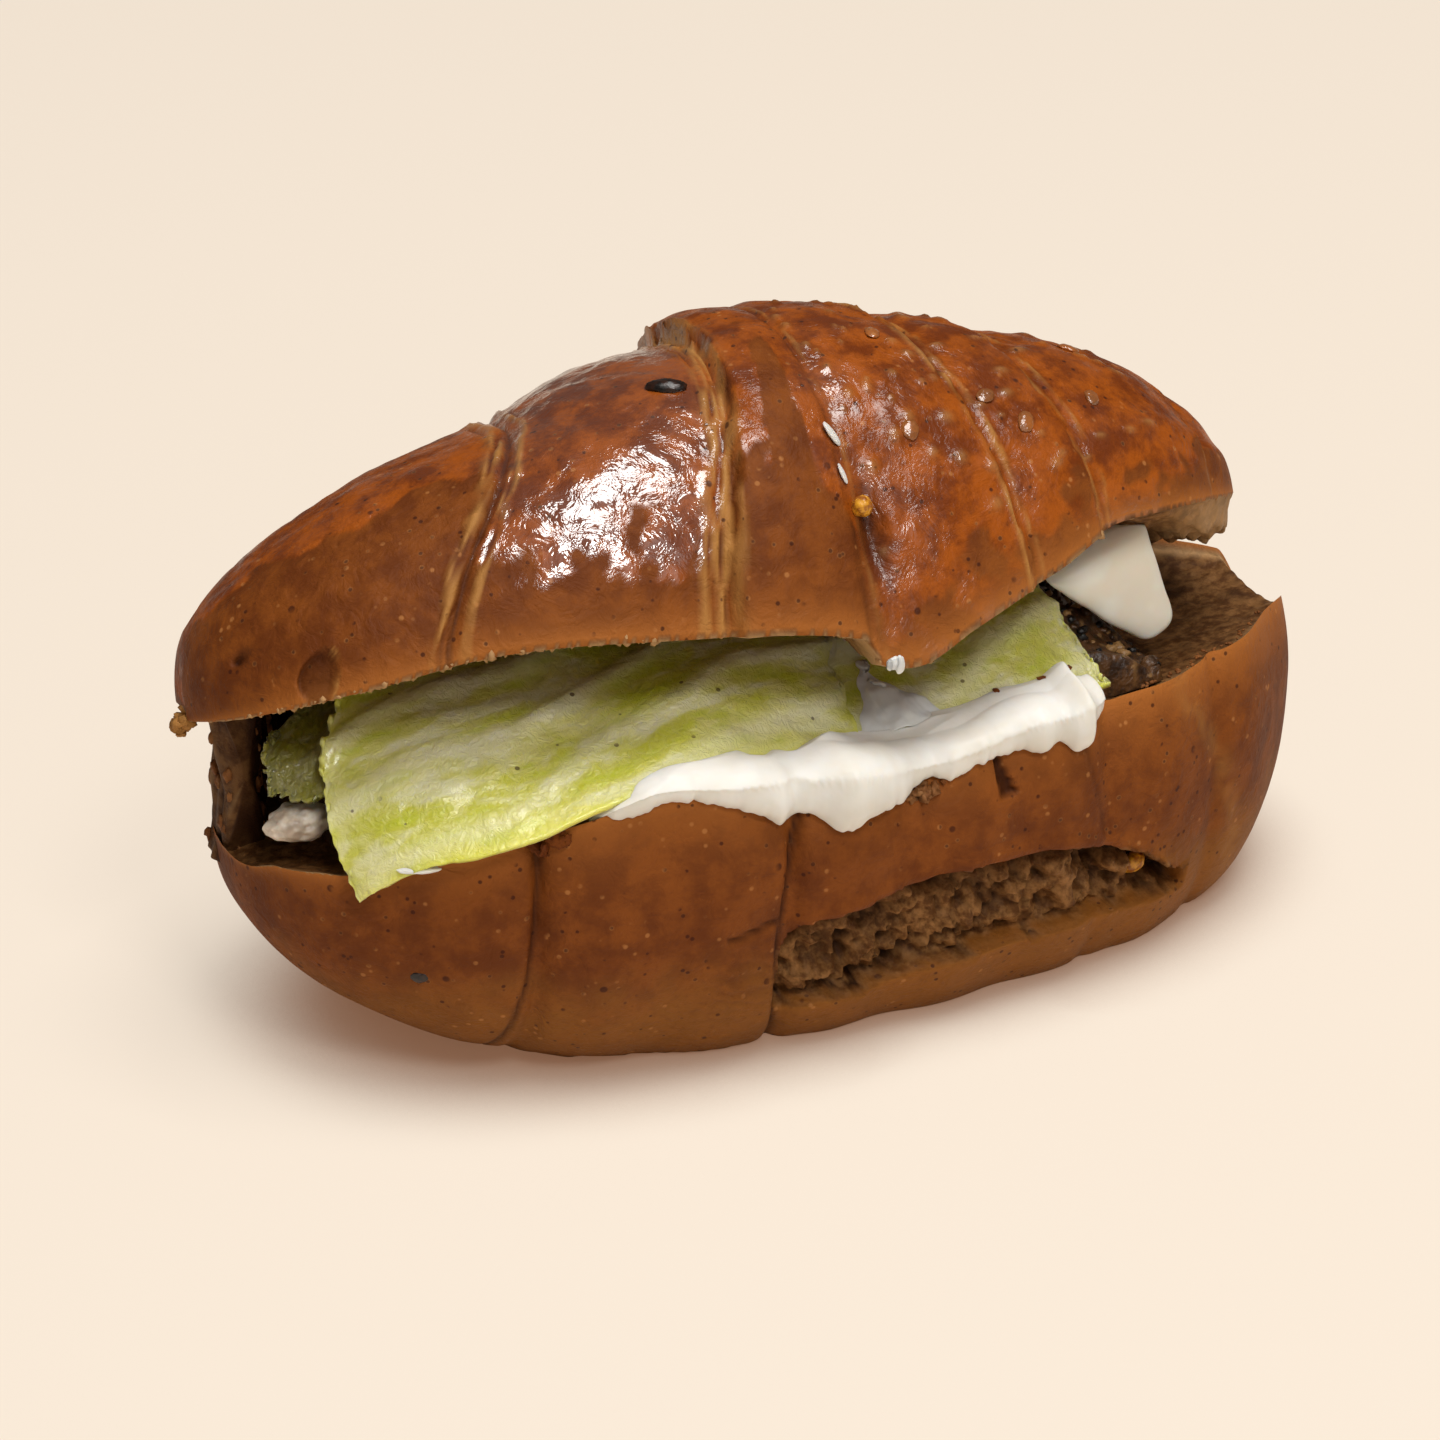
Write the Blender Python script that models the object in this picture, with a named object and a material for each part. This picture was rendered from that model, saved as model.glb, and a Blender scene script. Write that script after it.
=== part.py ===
"""A straight multigrain croissant, cut open from the front and filled.

The bread is one piece: its crown and its bottom half still hang together along the back and
round the left end. In it are lettuce, white cream, egg white and a dark chopped mix.
+X runs along the croissant, -Y is its open front and +Z is up. Sizes are in millimetres, and MM
turns them into metres where a mesh is made. Places are given from a point under the loaf, and
ORIGIN moves that to the middle of the whole, on the table.
"""

import math

import bmesh
import bpy
import numpy as np
from mathutils import Matrix, Vector, noise

MM = 0.001
ORIGIN = (3.2, 0.2, 0.0)

# Bottom half of the bread
BASE_LEFT, BASE_RIGHT = -69.8, 79.7
BASE_HALF_WIDTH = 36.0
BASE_BELLY_HEIGHT = 27.0
BASE_BLUNTNESS = 2.4
SIDE_BULGE = 0.84
RISE = 0.18
DISH_DEPTH = 8.0
TEAR_DEPTH = 4.0

# Top half of the bread, measured in its own flat frame before it is tipped open
CROWN_LEFT, CROWN_RIGHT = -73.3, 72.5
CROWN_HALF_WIDTH = 33.0
CROWN_HEIGHT = 31.5
CROWN_BLUNTNESS = 2.3
HINGE_Y, HINGE_Z = 31.0, 36.6
OPEN_ANGLE = math.radians(22.0)

# Crumb that still joins the halves, along the back and round the left end
WEB_THICKNESS = 7.0
WEB_INSET = 6.5
WEB_FROM, WEB_TO = math.radians(48), math.radians(181)

# Each layer of the rolled dough ends in an edge across the crown, and a crease across the bottom half
ROLL_EDGES = (-48.0, -13.0, 4.0, 28.0, 40.0, 62.0)
ROLL_LEVELS = (1.4, 1.2, 4.2, 4.2, 2.8, 1.4, 0.0)
ROLL_PUFF = 0.9
CREASES = ((-39.5, 1.5), (-7.5, 1.4), (38.0, 0.7), (57.0, 0.8))
CREASE_WIDTH = 1.3
UNEVENNESS = 0.5

# Fillings
LEAF_THICKNESS = 1.6
CLEARANCE = 0.9
CREAM_CLEARANCE = 1.3
FILLING_LEFT, FILLING_RIGHT = -58.0, 51.0
FILLING_HEIGHT = 21.0
CREAM_LEFT, CREAM_RIGHT = -29.0, 39.5

# Grains that stand out of the crust: place along and round it, size, and turn
CROWN_SEEDS = (
    (5.5, 0.40, (1.5, 1.5, 1.5), 0.4), (-22.5, 1.03, (2.7, 1.4, 1.3), 0.2),
    (34.5, 0.50, (1.6, 1.1, 1.1), 0.9), (31.5, 0.66, (1.4, 1.0, 1.0), 0.3),
    (17.0, 0.58, (1.4, 1.1, 1.1), 1.2), (47.0, 0.62, (1.4, 1.0, 1.0), 0.6),
    (22.0, 1.05, (1.4, 1.0, 1.0), 0.1), (52.0, 1.20, (1.4, 1.0, 1.0), 0.5),
)
BASE_SEEDS = ((-53.5, 0.25, (1.4, 1.1, 1.2), 0.0), (46.0, 0.25, (1.6, 4.6, 1.4), 0.0))

# Mesh fineness
CROWN_STATIONS, CROWN_ARC, CROWN_FLAT = 36, 30, 9
BASE_STATIONS, BASE_FLAT = 46, 10
BASE_ARC_PARTS = (6, 1, 5, 1, 3, 4, 13)
WEB_STATIONS = 20


def curve(*points):
    """A smooth curve, with no overshoot, through a few (position, value) pairs."""
    at, value = np.array(points, float).T
    step = np.diff(value) / np.diff(at)
    slope = np.zeros(len(at))
    turns = step[:-1] * step[1:] <= 0
    total = np.where(turns, 1.0, step[:-1] + step[1:])
    slope[1:-1] = np.where(turns, 0.0, 2 * step[:-1] * step[1:] / total)

    def read(x):
        x = np.asarray(x, float)
        i = np.clip(np.searchsorted(at, x) - 1, 0, len(at) - 2)
        width = at[i + 1] - at[i]
        t = np.clip((x - at[i]) / width, 0, 1)
        rise = t * t * (3 - 2 * t)
        bend = t * (1 - t) * ((1 - t) * slope[i] - t * slope[i + 1])
        return value[i] + rise * (value[i + 1] - value[i]) + width * bend

    return read


def smooth_step(low, high, x):
    """0 below low, 1 above high, and a smooth rise between."""
    t = np.clip((x - low) / (high - low), 0, 1)
    return t * t * (3 - 2 * t)


def lumps(points, size, seed=0.0):
    """Smooth noise from -1 to 1 at each point, with bumps of about the given size in millimetres."""
    shift = Vector((seed, seed * 1.7, -seed))
    return np.array([noise.noise(Vector(p) / size + shift) for p in points])


RIM_FRONT = curve(
    (-70, 28.5), (-67, 31.0), (-60, 32.5), (-40, 37.5), (-25, 41.0), (-8, 38.5), (7, 36.8),
    (23, 38.5), (40, 39.5), (66, 40.0), (72, 39.0), (77, 37.0), (79.5, 31.0),
)
RIM_BACK = curve(
    (-70, 28.5), (-60, 34.0), (-40, 37.5), (45, 37.5), (58, 36.0), (72, 36.5), (77, 36.5), (79.5, 31.0),
)
TEAR_TOP = curve((-9, 17.5), (-6, 20.0), (2, 21.5), (14, 23.5), (30, 22.5), (43, 18.0), (52, 12.0))
TEAR_BOTTOM = curve((-9, 6.5), (2, 7.2), (16, 8.8), (32, 9.0), (52, 7.8))
RIM_INSET = curve((-70, 0.0), (-40, 1.2), (-10, 3.0), (60, 3.0), (79, 5.0))
LIP_SAG = curve(
    (-77, -2.0), (-58, 0.0), (-42, 1.6), (-19, -0.7), (3.0, -4.8), (5.0, -8.6), (9, -9.4),
    (18, -6.3), (31, -2.0), (45, 2.3), (57, 2.0), (76, 0.5),
)
CRUMB_HANG = curve((46, 0.0), (56, 1.8), (64, 4.6), (70, 4.4), (72.5, 2.5))
ROLL_SLANT = curve(
    (-73.3, 0.0), (-66, 6.0), (-48, 20.0), (-13, 11.0), (4, 3.0), (28, -6.0), (40, -5.5), (72, 0.0),
)


def share_of_width(x, left, right, power):
    """How wide a blunt-ended loaf is at x, as a share of its full width."""
    t = np.clip((2 * x - left - right) / (right - left), -1, 1)
    return (1 - abs(t) ** power) ** 0.47


def base_half(x):
    """Half the bottom half's width at x."""
    return BASE_HALF_WIDTH * share_of_width(x, BASE_LEFT, BASE_RIGHT, BASE_BLUNTNESS)


def crown_half(x):
    """Half the crown's width at x."""
    return CROWN_HALF_WIDTH * share_of_width(x, CROWN_LEFT, CROWN_RIGHT, CROWN_BLUNTNESS)


def wall_turn(x, z, most):
    """How far round from the front rim the bottom half comes down to height z."""
    share = min(1.0, (BASE_BELLY_HEIGHT - z) / max(base_depth(x), 1e-6))
    return min(most, RISE + (1 - 2 * RISE) * math.asin(share ** (1 / SIDE_BULGE)) / math.pi)


def base_turns(x):
    """Places round the bottom half's crust, close together at the edges of the torn stretch."""
    tear_top, tear_bottom = wall_turn(x, TEAR_TOP(x), 0.25), wall_turn(x, TEAR_BOTTOM(x), 0.31)
    floor = wall_turn(x, 0.0, 0.36)
    edge = 0.004
    marks = (0, tear_top - edge, tear_top + edge, tear_bottom - edge, tear_bottom + edge, floor, 1 - floor, 1)
    parts = [np.linspace(a, b, n, endpoint=False) for a, b, n in zip(marks, marks[1:], BASE_ARC_PARTS)]
    return np.append(np.concatenate(parts), 1.0)


def base_depth(x):
    """How far the bottom half would hang below its belly, were the table not there."""
    t = (2 * x - BASE_LEFT - BASE_RIGHT) / (BASE_RIGHT - BASE_LEFT)
    power = 1.75 if t < 0 else 5.5
    return BASE_BELLY_HEIGHT * 1.38 * math.sqrt(max(0.0, 1 - abs(t) ** power))


def tear_share(x, z):
    """1 inside the torn stretch low on the front, 0 outside it."""
    inside = np.minimum(TEAR_TOP(x) - z, z - TEAR_BOTTOM(x))
    along = np.minimum(x + 9.0, 53.0 - x)
    return smooth_step(0.0, 1.0, np.minimum(inside, along * 0.8))


def base_wall(x, turn):
    """Outside of the bottom half at x, from its front rim (turn 0), under it, to the back (turn 1)."""
    half = base_half(x)
    low = base_depth(x)
    front, back = RIM_FRONT(x), RIM_BACK(x)
    up = np.clip((RISE - np.minimum(turn, 1 - turn)) / RISE, 0, 1)
    angle = np.clip((turn - RISE) / (1 - 2 * RISE), 0, 1) * math.pi
    side = np.where(turn < 0.5, -1.0, 1.0)
    y = side * np.abs(np.cos(angle)) ** 0.76 * half
    z = BASE_BELLY_HEIGHT - low * np.sin(angle) ** SIDE_BULGE
    rim = np.where(turn < 0.5, front, back)
    inset = RIM_INSET(x) * min(1.0, half / 20.0)
    y = np.where(up > 0, side * (half - inset * up * up), y)
    z = np.where(up > 0, BASE_BELLY_HEIGHT + (rim - BASE_BELLY_HEIGHT) * up, z)
    squeeze = sum(d * math.exp(-(((x - at) / CREASE_WIDTH) ** 2)) for at, d in CREASES)
    puff = 0.8 * math.sin((x + 39.5) / 16.0 * math.pi) ** 2 - squeeze
    places = np.stack([np.full_like(y, x), y, z], axis=-1)
    torn = TEAR_DEPTH * tear_share(x, z) * (y < 0) * (1 + 0.35 * lumps(places, 4.0, 5.0))
    puff = puff + UNEVENNESS * lumps(places, 13.0, 1.0)
    narrow = np.clip((half - 4.0) / 20.0, 0, 1)
    y = y + np.sign(y) * (puff - torn) * narrow * np.abs(np.cos(angle)) ** 0.5
    return y, np.maximum(z, 0.0)


def base_top(x, y):
    """Height of the cut, pressed crumb that the filling lies on."""
    half = base_half(x) + 1e-6
    across = np.clip((y + half) / (2 * half), 0, 1)
    level = RIM_FRONT(x) + (RIM_BACK(x) - RIM_FRONT(x)) * across
    dish = DISH_DEPTH * np.clip(half / BASE_HALF_WIDTH, 0, 1) * np.sin(across * math.pi) ** 0.8
    return level - dish


def front_wall(x, z):
    """How far forward the upper front wall of the bottom half stands at height z."""
    up = np.clip((z - BASE_BELLY_HEIGHT) / (RIM_FRONT(x) - BASE_BELLY_HEIGHT), 0, 1)
    return base_wall(x, np.atleast_1d(RISE * (1 - up)))[0]


def tip_open(x, y, z):
    """Turns points of the crown's own flat frame up about the hinge line."""
    out, lift = HINGE_Y - y, z
    cos, sin = math.cos(OPEN_ANGLE), math.sin(OPEN_ANGLE)
    return np.stack([x, HINGE_Y - out * cos + lift * sin, HINGE_Z + out * sin + lift * cos], axis=-1)


def roll_relief(x):
    """How far the layers of dough stand out at x: a step at each edge, and a swell between edges."""
    relief = ROLL_LEVELS[0]
    for edge, before, after in zip(ROLL_EDGES, ROLL_LEVELS, ROLL_LEVELS[1:]):
        relief += (after - before) * smooth_step(edge - 0.6, edge + 0.6, x)
    ends = (CROWN_LEFT, *ROLL_EDGES, CROWN_RIGHT)
    for near, far in zip(ends, ends[1:]):
        if near < x < far:
            relief += ROLL_PUFF * math.sin((x - near) / (far - near) * math.pi) ** 0.6
    return relief


def crown_under(x, y):
    """Height of the crown's cut face, in its own flat frame."""
    half = crown_half(x) + 1e-6
    front = np.clip(-y / half, 0, 1)
    back = np.clip(y / half, 0, 1)
    crumb = CRUMB_HANG(x) * smooth_step(0.0, 3.5, half - np.abs(y))
    return LIP_SAG(x) * (0.25 + 0.75 * front**2) * (1 - back**2) - crumb


def crown_floor(x, y):
    """Height of the crown's cut face above the table, once it is tipped open."""
    out = (HINGE_Y - y) / math.cos(OPEN_ANGLE)
    return HINGE_Z + out * math.sin(OPEN_ANGLE) + crown_under(x, HINGE_Y - out) / math.cos(OPEN_ANGLE)


def crown_skin(x, angle):
    """The crown's crust at x, from its front lip (angle 0) over the top to its back (angle pi)."""
    half = crown_half(x)
    share = half / CROWN_HALF_WIDTH
    relief = roll_relief(x) * min(1.0, share * 1.5)
    fullness = 2.6 if x < (CROWN_LEFT + CROWN_RIGHT) / 2 else 2.1
    height = CROWN_HEIGHT * share_of_width(x, CROWN_LEFT, CROWN_RIGHT, fullness) + relief
    y = -np.sign(np.cos(angle)) * np.abs(np.cos(angle)) ** 0.88 * (half + relief * 0.8)
    z = height * np.sin(angle) ** 0.82
    past_top = np.clip(2 * angle / math.pi - 1, 0, 1)
    slant = ROLL_SLANT(x) * np.where(past_top > 0, (1 + past_top) * (1 - past_top**3), np.sin(angle) ** 1.3)
    lip = crown_under(x, y) * (1 - np.sin(angle))
    places = np.stack([np.full_like(y, x) + slant, y, z + lip], axis=-1)
    swell = 1 + UNEVENNESS / 30.0 * lumps(places, 14.0, 2.0) * np.sin(angle)
    return places * np.stack([np.ones_like(y), swell, swell], axis=-1)


def crown_ring(x):
    """One closed ring round the crown: over its crust, then along its cut face."""
    over = crown_skin(x, np.linspace(0, math.pi, CROWN_ARC))
    y = over[:, 1]
    flat_y = np.linspace(y[-1], y[0], CROWN_FLAT + 2)[1:-1]
    flat = np.stack([np.full_like(flat_y, x), flat_y, crown_under(x, flat_y)], axis=-1)
    return tip_open(*np.concatenate([over, flat]).T)


def base_ring(x):
    """One closed ring round the bottom half: its crust, then its cut face."""
    y, z = base_wall(x, base_turns(x))
    flat_y = np.linspace(y[-1], y[0], BASE_FLAT + 2)[1:-1]
    flat_z = base_top(x, flat_y)
    y, z = np.concatenate([y, flat_y]), np.concatenate([z, flat_z])
    return np.stack([np.full_like(y, x), y, z], axis=-1)


def stations(left, right, count, doubled=()):
    """Places for the rings, closer at the ends, with one on each side of every doubled place."""
    middle, half = (left + right) / 2, (right - left) / 2
    places = middle + half * np.sin(np.linspace(-0.985, 0.985, count) * math.pi / 2)
    pairs = [edge + side for edge in doubled for side in (-0.6, 0.6)]
    kept = [p for p in places if all(abs(p - q) > 1.3 for q in pairs)]
    return sorted(kept + pairs)


def loft(rings, tips):
    """A closed mesh through the rings, drawn in to a point at each end."""
    mesh = bmesh.new()
    loops = [[mesh.verts.new(p) for p in ring * MM] for ring in rings]
    for near, far in zip(loops, loops[1:]):
        for i in range(len(near)):
            j = (i + 1) % len(near)
            mesh.faces.new((near[i], near[j], far[j], far[i]))
    for loop, tip in zip((loops[0][::-1], loops[-1]), tips):
        end = mesh.verts.new(np.array(tip) * MM)
        for i in range(len(loop)):
            mesh.faces.new((loop[i], loop[(i + 1) % len(loop)], end))
    if mesh.calc_volume(signed=True) < 0:
        bmesh.ops.reverse_faces(mesh, faces=mesh.faces)
    return mesh


def closed_slab(top, bottom):
    """A closed mesh between two grids of points. Both faces are split into triangles alike."""
    mesh = bmesh.new()
    rows, columns = top.shape[:2]
    upper, lower = ([[mesh.verts.new(p) for p in row] for row in side * MM] for side in (top, bottom))
    for i in range(rows - 1):
        for j in range(columns - 1):
            for (a, b), (c, d), (e, f) in (((0, 0), (1, 0), (1, 1)), ((0, 0), (1, 1), (0, 1))):
                corners = [(i + a, j + b), (i + c, j + d), (i + e, j + f)]
                mesh.faces.new([upper[r][k] for r, k in corners])
                mesh.faces.new([lower[r][k] for r, k in reversed(corners)])
    last_row, last_column = rows - 1, columns - 1
    edge = [(i, 0) for i in range(rows)] + [(last_row, j) for j in range(1, columns)]
    edge += [(i, last_column) for i in range(rows - 2, -1, -1)] + [(0, j) for j in range(columns - 2, 0, -1)]
    for (a, b), (c, d) in zip(edge, edge[1:] + edge[:1]):
        mesh.faces.new((upper[c][d], upper[a][b], lower[a][b], lower[c][d]))
    if mesh.calc_volume(signed=True) < 0:
        bmesh.ops.reverse_faces(mesh, faces=mesh.faces)
    return mesh


def web_mesh():
    """The wall of crumb between the halves, on a curve set in from their outline."""
    middle, half = (CROWN_LEFT + CROWN_RIGHT) / 2, (CROWN_RIGHT - CROWN_LEFT) / 2 - WEB_INSET
    rings = []
    for angle in np.linspace(WEB_FROM, WEB_TO, WEB_STATIONS):
        cos, sin = math.cos(angle), math.sin(angle)
        centre = np.array([
            middle + half * math.copysign(abs(cos) ** 0.86, cos),
            (CROWN_HALF_WIDTH - WEB_INSET) * math.copysign(abs(sin) ** 0.86, sin),
        ])
        outward = np.array([cos / half, sin / (CROWN_HALF_WIDTH - WEB_INSET)])
        outward /= np.linalg.norm(outward)
        inner, outer = centre - outward * WEB_THICKNESS / 2, centre + outward * WEB_THICKNESS / 2
        low, high = base_top(*centre) - 2.5, crown_floor(*centre) + 2.0
        waist = (low + high) / 2
        pinch = outward * 1.2
        rings.append(np.array([
            (*inner, low), (*outer, low), (*(outer - pinch), waist),
            (*outer, high), (*inner, high), (*(inner + pinch), waist),
        ]))
    return loft(rings, [rings[0].mean(axis=0), rings[-1].mean(axis=0)])


def leaf(low_edge, high_edge, fold, bulge, rows, columns):
    """Upper and lower grids of a leaf between two edges, with folds of the given height."""
    across = np.linspace(0, 1, columns)
    low, high = (
        [curve(*zip(np.linspace(0, 1, len(edge)), axis)) for axis in zip(*edge)]
        for edge in (low_edge, high_edge)
    )
    top = np.zeros((rows, columns, 3))
    for i, u in enumerate(np.linspace(0, 1, rows)):
        start, end = (np.array([axis(u) for axis in side]) for side in (low, high))
        top[i] = start + (end - start) * across[:, None]
        middle = np.sin(across * math.pi)
        top[i, :, 0] -= bulge * middle * (1 - u) ** 3
        top[i, :, 2] += middle * (1.5 + fold * math.sin(9.0 * u + 1.0))
        top[i, :, 2] += fold * 0.5 * np.sin(12 * u - 4 * across)
    x, y = top[..., 0], top[..., 1]
    over_rim = RIM_FRONT(x) * (y < 8 - base_half(x))
    floor = np.where(np.abs(y) < base_half(x) + 1.0, np.maximum(base_top(x, y), over_rim), 0.0)
    top[..., 2] = np.maximum(top[..., 2], floor + LEAF_THICKNESS + CLEARANCE)
    top[..., 2] = np.minimum(top[..., 2], crown_floor(x, y) - CLEARANCE)
    bottom = top - np.array([0, 0, LEAF_THICKNESS])
    return top, bottom


def lowest_above(grids, x, y, reach=5.0):
    """The lowest underside of what lies within reach of each point, or a great height."""
    points = np.concatenate([grid.reshape(-1, 3) for grid in grids])
    near = (x[..., None] - points[:, 0]) ** 2 + (y[..., None] - points[:, 1]) ** 2 < reach**2
    return np.where(near, points[:, 2], 1e3).min(axis=-1)


def tuck_under(top, grids, reach=5.0):
    """Lowers the points of a grid that would run into the pieces over it."""
    limit = lowest_above(grids, top[..., 0], top[..., 1], reach) - CLEARANCE
    limit = np.minimum(limit, crown_floor(top[..., 0], top[..., 1]) - CLEARANCE)
    top[..., 2] = np.minimum(top[..., 2], limit)
    return top


def lay_under(grids, cover):
    """A leaf, lowered where it lies under another."""
    top = tuck_under(grids[0], [cover[1]])
    return top, top - np.array([0, 0, LEAF_THICKNESS])


FILLING_SETBACK = curve(
    (-58, 6.0), (-38, 7.5), (-20, 9.5), (0, 13.5), (6, 16.0), (12, 13.5), (30, 13.5), (44, 9.0), (51, 7.0),
)
FILLING_BACK = curve((-58, 5.0), (-52, 11.0), (-44, 16.5), (-30, 18.0), (30, 18.0), (51, 16.0))


def filling_grids(leaves):
    """The chopped filling: a lumpy bed from the cut crumb up to the crown and the leaves."""
    u, v = np.meshgrid(np.linspace(0, 1, 24), np.linspace(0, 1, 8), indexing="ij")
    x = FILLING_LEFT + (FILLING_RIGHT - FILLING_LEFT) * u
    front = -np.clip(base_half(x) - FILLING_SETBACK(x), 4.0, 24.0)
    y = front + (FILLING_BACK(x) - front) * v
    edge = np.minimum(np.sin(u * math.pi), np.sin(v * math.pi)) ** 0.45
    floor = base_top(x, y) + CLEARANCE
    rough = lumps(np.stack([x, y, x * 0], axis=-1).reshape(-1, 3), 7.0, 3.0).reshape(x.shape)
    top = np.stack([x, y, floor + 1.2 + edge * (FILLING_HEIGHT + 4.0 * rough)], axis=-1)
    top = tuck_under(top, leaves, reach=6.5)
    bottom = np.stack([x, y, np.minimum(floor, top[..., 2] - 0.5)], axis=-1)
    return top, bottom


CREAM_THICKNESS = curve(
    (-34, 0.8), (-28, 1.6), (-20, 3.2), (-8, 4.6), (2, 5.5), (6, 7.5), (10, 5.0), (14, 3.6), (24, 5.0),
    (35, 4.6), (42, 2.2),
)
CREAM_DRIP = curve(
    (-34, 0.5), (-20, 0.8), (-9, 3.0), (-4, 4.2), (2, 3.4), (8, 3.2), (14, 1.0), (24, 1.2), (31, 4.0),
    (36, 3.6), (42, 0.8),
)
CREAM_REACH = curve((-34, 3.0), (-20, 5.0), (2, 8.0), (6, 11.0), (10, 8.0), (30, 8.0), (42, 4.0))


def cream_grids(leaves):
    """White cream spread over the front rim, from the cut face inside to a few drips down the wall."""
    rows, columns = 30, 9
    top, bottom = np.zeros((rows, columns, 3)), np.zeros((rows, columns, 3))
    across = np.linspace(0, 1, columns)
    for i, x in enumerate(np.linspace(CREAM_LEFT, CREAM_RIGHT, rows)):
        rim_z = RIM_FRONT(x)
        rim_y = front_wall(x, rim_z)
        along = -CREAM_REACH(x) + (CREAM_REACH(x) + CREAM_DRIP(x)) * across
        inside = np.maximum(-along, 0)
        down = np.maximum(along, 0)
        turn = smooth_step(-2.5, 2.0, along) * math.pi / 2
        y = np.where(along < 0, rim_y + inside, front_wall(x, rim_z - down) - CREAM_CLEARANCE)
        over = CREAM_CLEARANCE * (1 - smooth_step(0.0, 2.0, down))
        z = np.where(along < 0, base_top(x, rim_y + inside) + CREAM_CLEARANCE, rim_z - down + over)
        z = np.where(along < 0, np.maximum(z, rim_z + CREAM_CLEARANCE - inside * 0.8), z)
        body = CREAM_THICKNESS(x) * np.sin((0.12 + 0.80 * across) * math.pi) ** 0.7
        bottom[i] = np.stack([np.full_like(y, x), y, z], axis=-1)
        top[i] = bottom[i] + np.stack([0 * y, -np.sin(turn) * body, np.cos(turn) * body], axis=-1)
    rough = lumps(top.reshape(-1, 3), 6.0, 8.0).reshape(rows, columns) * 0.8
    top[..., 2] += np.where(top[..., 1] > bottom[..., 1] - 0.5, rough, 0)
    limit = lowest_above(leaves, top[..., 0], top[..., 1]) - CREAM_CLEARANCE
    top[..., 2] = np.minimum(top[..., 2], np.maximum(limit, bottom[..., 2] + 0.4))
    return top, bottom


def wedge_rings():
    """The slice of egg white that hangs out at the right: wide above, and narrow at its tip."""
    rings = []
    start, end = np.array([45.0, -13.0, 53.0]), np.array([54.0, -15.5, 40.5])
    wide, deep = np.array([0.93, 0.12, 0.34]), np.array([-0.25, 0.90, 0.36])
    for t in np.linspace(0, 1, 6):
        centre = start + (end - start) * t
        width, depth = 8.5 - 5.8 * t, 2.6 * math.sqrt(1.05 - 0.55 * t * t)
        angles = np.linspace(0, 2 * math.pi, 12, endpoint=False)
        ring = np.array([centre + wide * width * math.cos(a) + deep * depth * math.sin(a) for a in angles])
        ring[:, 2] = np.minimum(ring[:, 2], crown_floor(ring[:, 0], ring[:, 1]) - CLEARANCE)
        rings.append(ring)
    return rings


def lump_mesh(centre, size, seed):
    """An uneven lump, as of chopped egg white."""
    mesh = bmesh.new()
    bmesh.ops.create_icosphere(mesh, subdivisions=2, radius=1.0)
    for vertex in mesh.verts:
        swell = 1.0 + 0.25 * noise.noise(vertex.co * 1.4 + Vector((seed, 0, 0)))
        vertex.co = (Vector(centre) + Vector(a * b * swell for a, b in zip(vertex.co, size))) * MM
    return mesh


def add_object(name, mesh, material):
    """A triangulated object of the mesh, in the scene."""
    data = bpy.data.meshes.new(name)
    bmesh.ops.triangulate(mesh, faces=mesh.faces)
    mesh.to_mesh(data)
    mesh.free()
    data.materials.append(material)
    obj = bpy.data.objects.new(name, data)
    bpy.context.scene.collection.objects.link(obj)
    return obj


def finish(name, colour, roughness):
    """A plain material of one colour."""
    material = bpy.data.materials.new(name)
    material.use_nodes = True
    shader = material.node_tree.nodes["Principled BSDF"]
    shader.inputs["Base Color"].default_value = (*colour, 1)
    shader.inputs["Roughness"].default_value = roughness
    return material


FRONT_LEAF = (
    (
        (-61.0, -23.5, 31.0), (-55, -27.5, 35.5), (-42, -32.5, 40.0), (-31, -32.5, 43.2), (-19, -30.5, 44.4),
        (-7, -28.5, 44.0), (5, -26.5, 43.0),
    ),
    ((-52.0, -2.0, 51.0), (-36, 0.0, 51.5), (-20, 1.0, 51.5), (-5, 0.0, 51.5), (9, -3.0, 50.5)),
)
RIGHT_LEAF = (
    ((10.5, -24.0, 42.5), (18, -25.0, 42.5), (28, -26.0, 42.0), (41, -25.0, 41.5)),
    ((11.0, -4.0, 48.5), (20, -4.0, 51.0), (30, -5.0, 51.5), (37, -6.0, 50.5)),
)
LEFT_LEAF = (
    ((-66.5, -8.0, 39.5), (-62, -12.5, 40.5), (-55, -15.0, 41.5)),
    ((-63.0, -2.0, 44.5), (-56, 3.0, 46.0), (-48, 4.0, 47.0)),
)


def bread():
    """Crown, bottom half and the crumb between them, joined into one solid."""
    crust = finish("crust", (0.33, 0.12, 0.03), 0.4)
    rings = [crown_ring(x) for x in stations(CROWN_LEFT, CROWN_RIGHT, CROWN_STATIONS, ROLL_EDGES)]
    tips = [tip_open(*np.array([x, 0.0, 0.0])) for x in (CROWN_LEFT, CROWN_RIGHT)]
    whole = add_object("croissant", loft(rings, tips), crust)
    rings = [base_ring(x) for x in stations(BASE_LEFT, BASE_RIGHT, BASE_STATIONS, [at for at, _ in CREASES])]
    lower = add_object("lower_half", loft(rings, [(BASE_LEFT, 0, 28.0), (BASE_RIGHT, 0, 26.0)]), crust)
    web = add_object("crumb_web", web_mesh(), crust)
    grains = [add_object("seed", mesh, crust) for mesh in seeds()]
    join_all(whole, [lower, web, *grains])


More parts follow.
